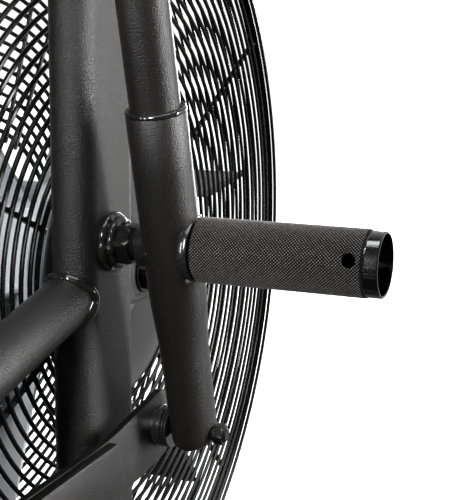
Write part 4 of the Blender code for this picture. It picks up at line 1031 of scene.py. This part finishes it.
# ---- feet, beam and the rest of the frame --------------------------------------------------
def make_feet():
    for end, y, length in (("front", UPRIGHT_Y, 0.64), ("rear", REAR_BAR_Y, 0.52)):
        half = length / 2
        bm = bmesh.new()
        bar(bm, (0.006 - half, y, FOOT_BAR_Z), (half - 0.006, y, FOOT_BAR_Z), FOOT_BAR_HEIGHT,
            FOOT_BAR_DEPTH, 0.0008, 20)
        if end == "front":
            for side in (1, -1):
                x, z = side * 0.235, 0.046
                lug = rounded_rectangle(0.064, 0.03, 0.009)
                prism(bm, lug, -0.004, 0.004, side_plane(x, y + 0.056, z), 0.0008)
                place = outward(side, (x, y + 0.078, z))
                lathe(bm, [(0, 0.0), (0.005, 0.0), (0.005, 0.0325), (0.0086, 0.0325), (0.009, 0.0332),
                           (0.008, 0.0365), (0, 0.0365)], place, 32)
        piece(f"foot_tube_{end}", bm, "frame", "paint", (f"foot_bar_{end}",))
        for side, name, _ in SIDES:
            bm = bmesh.new()
            cap = along((side * (half - 0.006), y, FOOT_BAR_Z), (side * half, y, FOOT_BAR_Z))
            prism(bm, obround_outline(FOOT_BAR_HEIGHT, FOOT_BAR_DEPTH, 20), 0.0002, 0.006, cap, 0.0028)
            piece(f"foot_cap_{end}_{name}", bm, "frame", "plastic")
            profile = [(0.0, 0.012), (0.015, 0.012), (0.021, 0.011), (0.0235, 0.008), (0.0252, 0.0055),
                       (0.0244, 0.0045), (0.0256, 0.0036), (0.026, 0.0015), (0.025, 0.0), (0.02, 0.0),
                       (0.019, 0.0008), (0.015, 0.0008), (0.014, 0.0), (0.0, 0.0)]
            turned(f"foot_{end}_{name}", "frame", "rubber", profile,
                   Matrix.Translation((side * (half - 0.045), y, 0)),
                   nodes=(f"foot_pad_{end}_{name}",))


def make_wheels():
    tyre = [(0.03, 0.009), (0.0335, 0.009), (0.0352, 0.0076), (0.036, 0.005), (0.0354, 0.003),
            (0.0354, 0.0018), (0.036, 0.0)]
    tyre += [(r, -h) for r, h in reversed(tyre[:-1])]
    hub = [(0.0054, 0.013), (0.01, 0.013), (0.011, 0.012), (0.0115, 0.007), (0.027, 0.006),
           (0.028, 0.0085), (0.0305, 0.0085)]
    hub += [(r, -h) for r, h in reversed(hub)]
    for side, name, _ in SIDES:
        place, body = outward(side, (side * 0.2532, PIVOT_Y + 0.08, 0.046)), f"wheel_{name}"
        turned(f"wheel_tyre_{name}", body, "rubber", tyre, place, 64,
               (f"transport_wheel_{name}",))
        turned(f"wheel_hub_{name}", body, "plastic", hub, place, 56)


def make_lower_frame():
    bm = bmesh.new()
    bar(bm, (0.0, CRANK_Y - 0.02, CRANK_Z - 0.014), (0.0, REAR_BAR_Y + 0.02, 0.075), 0.05, 0.09,
        0.001, 20)
    piece("main_beam", bm, "frame", "paint", ("rear_beam",))
    for side, name, _ in SIDES:
        outer = side * (FACE_X - 0.02)
        front = Vector((outer, PIVOT_Y - 0.018, 0.13))
        bend = Vector((outer, 0.05, 0.164))
        tail = Vector((side * 0.03, -0.283, 0.247))
        turn = bend + (tail - bend) * 0.25
        before = bend + (front - bend) * 0.3
        bm = bmesh.new()
        tube(bm, [front] + interpolate_bezier(before, bend, bend, turn, 16) + [tail], 0.019, sides=40)
        piece(f"lower_bar_{name}", bm, "frame", "paint", (f"lower_tube_{name}",))
    for name, low, high in (("crank_shell", -0.045, 0.134), ("crank_bearing_left", -0.134, -0.098)):
        profile = []
        for end, inwards in ((low, 1), (high, -1)):
            half = [(0.0118, 0.0005), (0.019, 0.0005), (0.02, 0.0015), (0.024, 0.0015),
                    (0.025, 0.0), (0.0292, 0.0), (0.03, 0.0008)][::inwards]
            profile += [(radius, end + inwards * step) for radius, step in half]
        turned(name + "_tube", "frame", "paint", profile,
               outward(1, (0, CRANK_Y, CRANK_Z)), 64, (name,))
    bm = bmesh.new()
    far, corner, width = -0.742, 0.018, 0.075
    bend = [Vector((x, y, FOOT_BAR_Z)) for x, y in
            arc((width - corner, far + corner), corner, 0.0, -math.pi / 2, 10)]
    right = [Vector((width, REAR_BAR_Y - FOOT_BAR_DEPTH / 2 + 0.002, FOOT_BAR_Z))] + bend
    left = [Vector((-p.x, p.y, p.z)) for p in reversed(right)]
    tube(bm, right + left, 0.008, sides=28)
    piece("lift_handle", bm, "frame", "paint", ("rear_handle",))


def make_bridge():
    y, z, radius = UPRIGHT_Y, 0.868, 0.022
    inner = FACE_X - UPRIGHT_WIDTH
    bm = bmesh.new()
    bar(bm, (-inner, y, z), (inner, y, z), 0.044, 0.06, 0.0005, 20)
    tube(bm, [(0, y, z), (0, y - 0.08, 1.15)], 0.017, sides=40)
    piece("bridge_tube", bm, "frame", "paint", ("top_bridge",))
    bm = bmesh.new()
    ring = []
    for dx, dy in circle(40, 0.0178):
        over = math.sqrt(max(0.0, radius**2 - max(0.0, abs(dy) - 0.008) ** 2))
        ring.append(Vector((dx, y + dy - 0.006, z + over + 0.0006)))
    weld(bm, ring, 0.0026, 21)
    bead_piece("bridge_weld", bm)


def make_belt_cover():
    rim = two_circles((CRANK_Y, CRANK_Z), 0.127, (FAN_Y, FAN_Z), 0.048, 40)
    bm = bmesh.new()
    prism(bm, rim, -0.056, -0.0545, side_plane(), 0.0004)
    piece("belt_plate", bm, "frame", "paint", ("belt_cover_inner",))
    bm = bmesh.new()
    prism(bm, rim, -0.0925, -0.0563, side_plane(), 0.006)
    screw = [(0, 0.0), (0.0038, 0.0), (0.0036, 0.0012), (0.0022, 0.0019), (0.0016, 0.001),
             (0, 0.001)]
    for spot in inset(rim, 0.013)[::12]:
        lathe(bm, screw, outward(-1, (-0.0922, spot.x, spot.y)), 20)
    piece("belt_case", bm, "frame", "paint", ("belt_cover_outer",))


# ---- seat ----------------------------------------------------------------------------------
def make_seat_mast():
    top = SEAT_FOOT + SEAT_AXIS * SEAT_MAST_LENGTH
    bm = bmesh.new()
    bar(bm, SEAT_FOOT - SEAT_AXIS * 0.045, top - SEAT_AXIS * 0.012, 0.052, 0.066, 0.0006, 20)
    pin = SEAT_FOOT + SEAT_AXIS * (SEAT_MAST_LENGTH - PIN_DOWN)
    ahead = SEAT_FRONT.to_track_quat("Z", "Y").to_matrix().to_4x4()
    stand = Matrix.Translation(pin) @ ahead
    lathe(bm, [(0.0056, 0.03), (0.011, 0.03), (0.011, 0.044), (0.0102, 0.045), (0.0056, 0.045)],
          stand, 40)
    piece("mast_tube", bm, "frame", "paint", ("seat_mast",))
    bm = bmesh.new()
    prism(bm, obround_outline(0.052, 0.066, 20), -0.0118, 0.0, along(top, top + SEAT_AXIS), 0.003)
    piece("mast_collar", bm, "frame", "plastic")
    profile = [(0.0, 0.0), (0.0042, 0.0), (0.005, 0.001), (0.005, 0.022), (0.0118, 0.0222),
               (0.015, 0.025), (0.0188, 0.03), (0.019, 0.031), (0.0182, 0.034),
               (0.0182, 0.042), (0.019, 0.045), (0.0184, 0.0478), (0.015, 0.0498),
               (0.012, 0.05), (0.011, 0.0494), (0.0, 0.0494)]
    turned("pin_knob", "pop_pin", "plastic", profile,
           Matrix.Translation(pin + SEAT_FRONT * 0.0279) @ ahead, nodes=("seat_pin",))


def make_seat_post():
    bm = bmesh.new()
    bar(bm, SEAT_FOOT + SEAT_AXIS * 0.15, SEAT_TOP, 0.04, 0.054, 0.0008, 20)
    rounded_box(bm, SEAT_TOP + Vector((0, -0.004, 0.012)), (0.04, 0.19, 0.026), 0.003)
    post = piece("post_tube", bm, "post", "paint", ("seat_post",))
    holes = bmesh.new()
    for number in range(4):
        spot = SEAT_FOOT + SEAT_AXIS * (SEAT_MAST_LENGTH - PIN_DOWN + 0.03 * number)
        tube(holes, [spot + SEAT_FRONT * 0.0225, spot + SEAT_FRONT * 0.04], 0.0056, sides=28)
    cut_with(post, holes)


def make_slider():
    top = SEAT_TOP
    bm = bmesh.new()
    for side in (1, -1):
        rounded_box(bm, top + Vector((side * 0.0268, -0.02, 0.015)), (0.0118, 0.09, 0.046), 0.0022)
    rounded_box(bm, top + Vector((0, -0.02, 0.032)), (0.065, 0.09, 0.012), 0.0022)
    rounded_box(bm, top + Vector((0, -0.02, 0.0405)), (0.12, 0.15, 0.007), 0.0025)
    piece("seat_carriage", bm, "seat", "bolt", ("seat_slider",))
    bm = bmesh.new()
    stand = outward(1, top + Vector((0.0333, -0.02, 0.012)))
    lathe(bm, [(0, 0.0), (0.0098, 0.0), (0.01, 0.006), (0.0135, 0.009), (0.015, 0.012),
               (0.015, 0.028), (0.0135, 0.0298), (0.0, 0.03)], stand, 48)
    around = circle(96)
    lobes = [0.0188 + 0.0021 * math.cos(6 * math.tau * k / 96) for k in range(96)]
    loft(bm, [[stand @ Vector((reach * swell * c, reach * swell * s, z))
               for reach, (c, s) in zip(lobes, around)]
              for z, swell in ((0.0108, 0.8), (0.0125, 0.95), (0.015, 1.0), (0.025, 1.0),
                               (0.028, 0.95), (0.0294, 0.82))])
    piece("clamp_knob_body", bm, "clamp_knob", "plastic", ("slider_knob",))


def saddle_half_width(t):
    """Half the saddle's width at t, from 0 at its back to 1 at its nose."""
    back = math.sqrt(max(0.0, 1 - (1 - min(1.0, t / 0.2)) ** 2))
    nose = math.sqrt(max(0.0, 1 - max(0.0, (t - 0.9) / 0.1) ** 2))
    taper = 0.118 if t < 0.3 else 0.118 - 0.08 * min(1.0, ((t - 0.3) / 0.5)) ** 1.15
    return taper * (0.45 + 0.55 * back) * max(0.25, nose)


def saddle_ring(t, low, high, swell, count=56):
    """One cross-section of the saddle at t, with a dip along its middle."""
    y = low.y + (high.y - low.y) * t
    half = saddle_half_width(t) * swell
    ends = math.sqrt(max(0.0, 1 - abs(2 * t - 1) ** 7))
    height = (high.z - low.z) * (1.0 - 0.34 * max(0.0, (t - 0.15) / 0.85)) * (0.55 + 0.45 * ends)
    ring = []
    for k in range(count):
        a = math.tau * k / count
        c, s = math.cos(a), math.sin(a)
        x = half * math.copysign(abs(c) ** 0.62, c)
        if s > 0:
            z = low.z + height * (0.42 + 0.58 * abs(s) ** 0.75)
            z -= 0.01 * max(0.0, 1 - abs(x) / 0.03) ** 2 * math.sin(math.pi * t) * swell
        else:
            z = low.z + height * 0.42 * (1 - abs(s) ** 0.6)
            x *= 1 - 0.16 * abs(s)
        ring.append(Vector((x, y, z)))
    return ring


def make_saddle():
    low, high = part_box("saddle")
    low, high = low + Vector((0.006, 0.007, 0.003)), high - Vector((0.006, 0.007, 0.006))
    bm = bmesh.new()
    steps = 36
    rings = []
    for k in range(steps + 1):
        t = 0.5 - 0.5 * math.cos(math.pi * (0.02 + 0.96 * k / steps))
        rings.append(saddle_ring(t, low, high, 1.0))
    loft(bm, rings)
    pad = linked("saddle_pad", mesh_of(bm, "saddle_pad"))
    remesh = pad.modifiers.new("even", "REMESH")
    remesh.mode, remesh.voxel_size = "VOXEL", 0.005
    apply_modifiers(pad)
    inflate(pad, 0.007)
    smooth = pad.modifiers.new("soft", "SUBSURF")
    smooth.levels = smooth.render_levels = 1
    apply_modifiers(pad)
    pad.data.materials.clear()
    pad.data.materials.append(LOOKS["vinyl"])
    pad.data.shade_smooth()
    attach(pad, "seat")
    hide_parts("saddle")
    # The piping round the side, and the shell under the pad.
    bm = bmesh.new()
    path = saddle_outline(low, high)
    tube(bm, path, 0.0016, sides=10, closed=True)
    piece("saddle_piping", bm, "seat", "vinyl", smooth=60)
    bm = bmesh.new()
    middle = (low.y + high.y) / 2
    outline = [(point.x * 0.86, (point.y - middle) * 0.92 + middle) for point in path]
    prism(bm, outline, 0.0, 0.006, Matrix.Translation((0, 0, low.z - 0.0028)), 0.002)
    piece("saddle_base", bm, "seat", "plastic")


def saddle_outline(low, high, count=60):
    """The saddle's widest line, just outside the pad."""
    right, left = [], []
    for k in range(count + 1):
        t = 0.5 - 0.5 * math.cos(math.pi * (0.03 + 0.94 * k / count))
        ring = saddle_ring(t, low, high, 1.03)
        right.append(ring[0])
        left.append(ring[len(ring) // 2])
    return right + left[::-1]


def apply_modifiers(obj):
    bpy.context.view_layer.update()
    graph = bpy.context.evaluated_depsgraph_get()
    made = bpy.data.meshes.new_from_object(obj.evaluated_get(graph))
    obj.modifiers.clear()
    old, obj.data = obj.data, made
    bpy.data.meshes.remove(old)


CLOTH_FRAMES = 20


def inflate(obj, most):
    """Swells the pad with a short cloth simulation, and caps how far each point moves."""
    rest = [vertex.co.copy() for vertex in obj.data.vertices]
    cloth = obj.modifiers.new("air", "CLOTH")
    settings = cloth.settings
    settings.quality = 6
    settings.mass = 0.3
    settings.tension_stiffness = settings.compression_stiffness = 18.0
    settings.shear_stiffness = 8.0
    settings.bending_stiffness = 1.2
    settings.use_pressure = True
    settings.uniform_pressure_force = 4.0
    settings.effector_weights.gravity = 0.0
    cloth.point_cache.frame_start, cloth.point_cache.frame_end = 1, CLOTH_FRAMES
    for number in range(1, CLOTH_FRAMES + 1):
        bpy.context.scene.frame_set(number)
    apply_modifiers(obj)
    for vertex, before in zip(obj.data.vertices, rest):
        move = vertex.co - before
        if move.length > most:
            vertex.co = before + move * (most / move.length)
    bpy.context.scene.frame_set(1)


# ---- console -------------------------------------------------------------------------------
def make_console():
    bm = bmesh.new()
    rounded_box(bm, CONSOLE_AT, CONSOLE_SIZE, 0.009, CONSOLE_TILT, 5)
    case = piece("console_case", bm, "frame", "console", ("console",), 35)
    stand = Matrix.Translation(CONSOLE_AT) @ CONSOLE_TILT @ Matrix.Rotation(math.pi / 2, 4, "X")
    facing = CONSOLE_TILT @ Vector((0, -1, 0))
    spots = [CONSOLE_AT + CONSOLE_TILT @ Vector((x, -0.022, -0.046)) for x in BUTTON_X]

    def window(bm, width, height, radius, low, high, edge):
        outline = [(x, y + 0.018) for x, y in rounded_rectangle(width, height, radius)]
        prism(bm, outline, low, high, stand, edge)

    cut = bmesh.new()
    window(cut, 0.15, 0.078, 0.006, 0.0195, 0.03, 0.0001)
    for spot in spots:
        tube(cut, [spot - facing * 0.006, spot + facing * 0.01], 0.0125, sides=40)
    cut_with(case, cut)
    bm = bmesh.new()
    window(bm, 0.148, 0.076, 0.005, 0.019, 0.0206, 0.0004)
    piece("console_screen", bm, "frame", "screen")
    aim = facing.to_track_quat("Z", "Y").to_matrix().to_4x4()
    profile = [(0, 0.002), (0.006, 0.0022), (0.0095, 0.0026), (0.0108, 0.002), (0.0117, 0.0006),
               (0.0117, -0.004), (0, -0.004)]
    for number, spot in enumerate(spots, 1):
        turned(f"button_cap_{number}", f"button_{number}", "button", profile,
               Matrix.Translation(spot) @ aim, 48, (f"console_button_{number}",))


# ---- stage ---------------------------------------------------------------------------------
def make_floor():
    made, _, shader = shader_of("floor", (0.8, 0.8, 0.8), 0.9, specular=0.1)
    shader.inputs["Emission Color"].default_value = (1.0, 1.0, 1.0, 1.0)
    shader.inputs["Emission Strength"].default_value = 1.3
    mesh = bpy.data.meshes.new("floor")
    size, level = 60.0, -0.0006
    mesh.from_pydata([(-size, -size, level), (size, -size, level), (size, size, level),
                      (-size, size, level)], [], [(0, 1, 2, 3)])
    mesh.materials.append(made)
    floor = linked("floor", mesh)
    floor.visible_diffuse = floor.visible_glossy = False


def make_world():
    """White to the eye. As light it is bright beyond the cage, dim behind the rider and below."""
    world = bpy.data.worlds.new("white")
    world.use_nodes = True
    tree = world.node_tree
    light = tree.nodes["Background"]
    way = tree.nodes.new("ShaderNodeSeparateXYZ")
    tree.links.new(tree.nodes.new("ShaderNodeTexCoord").outputs["Generated"], way.inputs[0])
    ahead = spread(tree, way.outputs["Y"], 0.06, 0.8, 0.2, 0.95)
    above = spread(tree, way.outputs["Z"], 0.3, 1.0, -0.6, 0.0)
    strength = tree.nodes.new("ShaderNodeMath")
    strength.operation = "MULTIPLY"
    tree.links.new(ahead, strength.inputs[0])
    tree.links.new(above, strength.inputs[1])
    tree.links.new(strength.outputs[0], light.inputs["Strength"])
    light.inputs["Color"].default_value = (1.0, 1.0, 1.0, 1.0)
    shown = tree.nodes.new("ShaderNodeBackground")
    shown.inputs["Color"].default_value = (1.0, 1.0, 1.0, 1.0)
    shown.inputs["Strength"].default_value = 1.05
    path = tree.nodes.new("ShaderNodeLightPath")
    mix = tree.nodes.new("ShaderNodeMixShader")
    tree.links.new(path.outputs["Is Camera Ray"], mix.inputs["Fac"])
    tree.links.new(light.outputs["Background"], mix.inputs[1])
    tree.links.new(shown.outputs["Background"], mix.inputs[2])
    tree.links.new(mix.outputs["Shader"], tree.nodes["World Output"].inputs["Surface"])
    bpy.context.scene.world = world


def soft_box(name, place, aim, size, energy):
    light = bpy.data.lights.new(name, "AREA")
    light.shape = "RECTANGLE"
    light.size, light.size_y = size
    light.energy = energy
    obj = linked(name, light)
    obj.location = place
    way = Vector(aim) - Vector(place)
    obj.rotation_euler = way.to_track_quat("-Z", "Y").to_euler()


def make_lights():
    """Each box: where it stands, what it aims at, its size and its watts."""
    soft_box("key_right", (3.0, 1.4, 1.1), (0.15, 0.25, 0.42), (0.7, 1.8), 185.0)
    soft_box("top", (0.4, -0.1, 3.0), (0.1, 0.2, 0.5), (1.8, 1.8), 40.0)
    soft_box("front", (0.4, -3.0, 2.0), (0.1, 0.2, 0.6), (0.3, 1.8), 110.0)
    soft_box("edge", (-0.3, 3.6, 1.0), (0.13, 0.3, 0.5), (0.4, 2.0), 70.0)
    soft_box("left", (-1.05, -2.6, 1.0), (0.2, 0.28, 0.5), (0.45, 1.8), 75.0)


def dress_nodes():
    """Materials for the CAD nodes that stay as they are."""
    for node, look in (("crank_spindle", "steel"), ("drive_pulley", "bolt"), ("fan_pulley", "bolt"),
                       ("drive_belt", "belt")):
        NODES[node].data.materials.clear()
        NODES[node].data.materials.append(LOOKS[look])


make_camera()
LOOKS = make_looks()
make_cage_face("cage_wires_right", GUARD_RIGHT_X, -1, "guard_right", SPOKE_ANGLES, 0.0028)
make_cage_face("cage_wires_left", GUARD_LEFT_X, 1, "guard_left", FAR_SPOKE_ANGLES, 0.002)
make_cage_side()
make_hub_cover()
make_fan()
make_fan_axle()
for side, name, letter in SIDES:
    make_upright(side, name)
    make_side_tube(side, name)
    make_lever(side, name, f"arm_{letter}")
    make_handle(side, name, f"arm_{letter}")
    make_pivot(side, name)
    make_peg(side, name)
    make_arm_bolt(side, name, f"arm_{letter}")
    make_link(side, name, f"link_{letter}")
    make_crank(side, name, letter)
make_feet()
make_wheels()
make_lower_frame()
make_bridge()
make_belt_cover()
make_seat_mast()
make_seat_post()
make_slider()
make_saddle()
make_console()
dress_nodes()
make_floor()
make_world()
make_lights()

bpy.context.scene.view_settings.view_transform = "Standard"
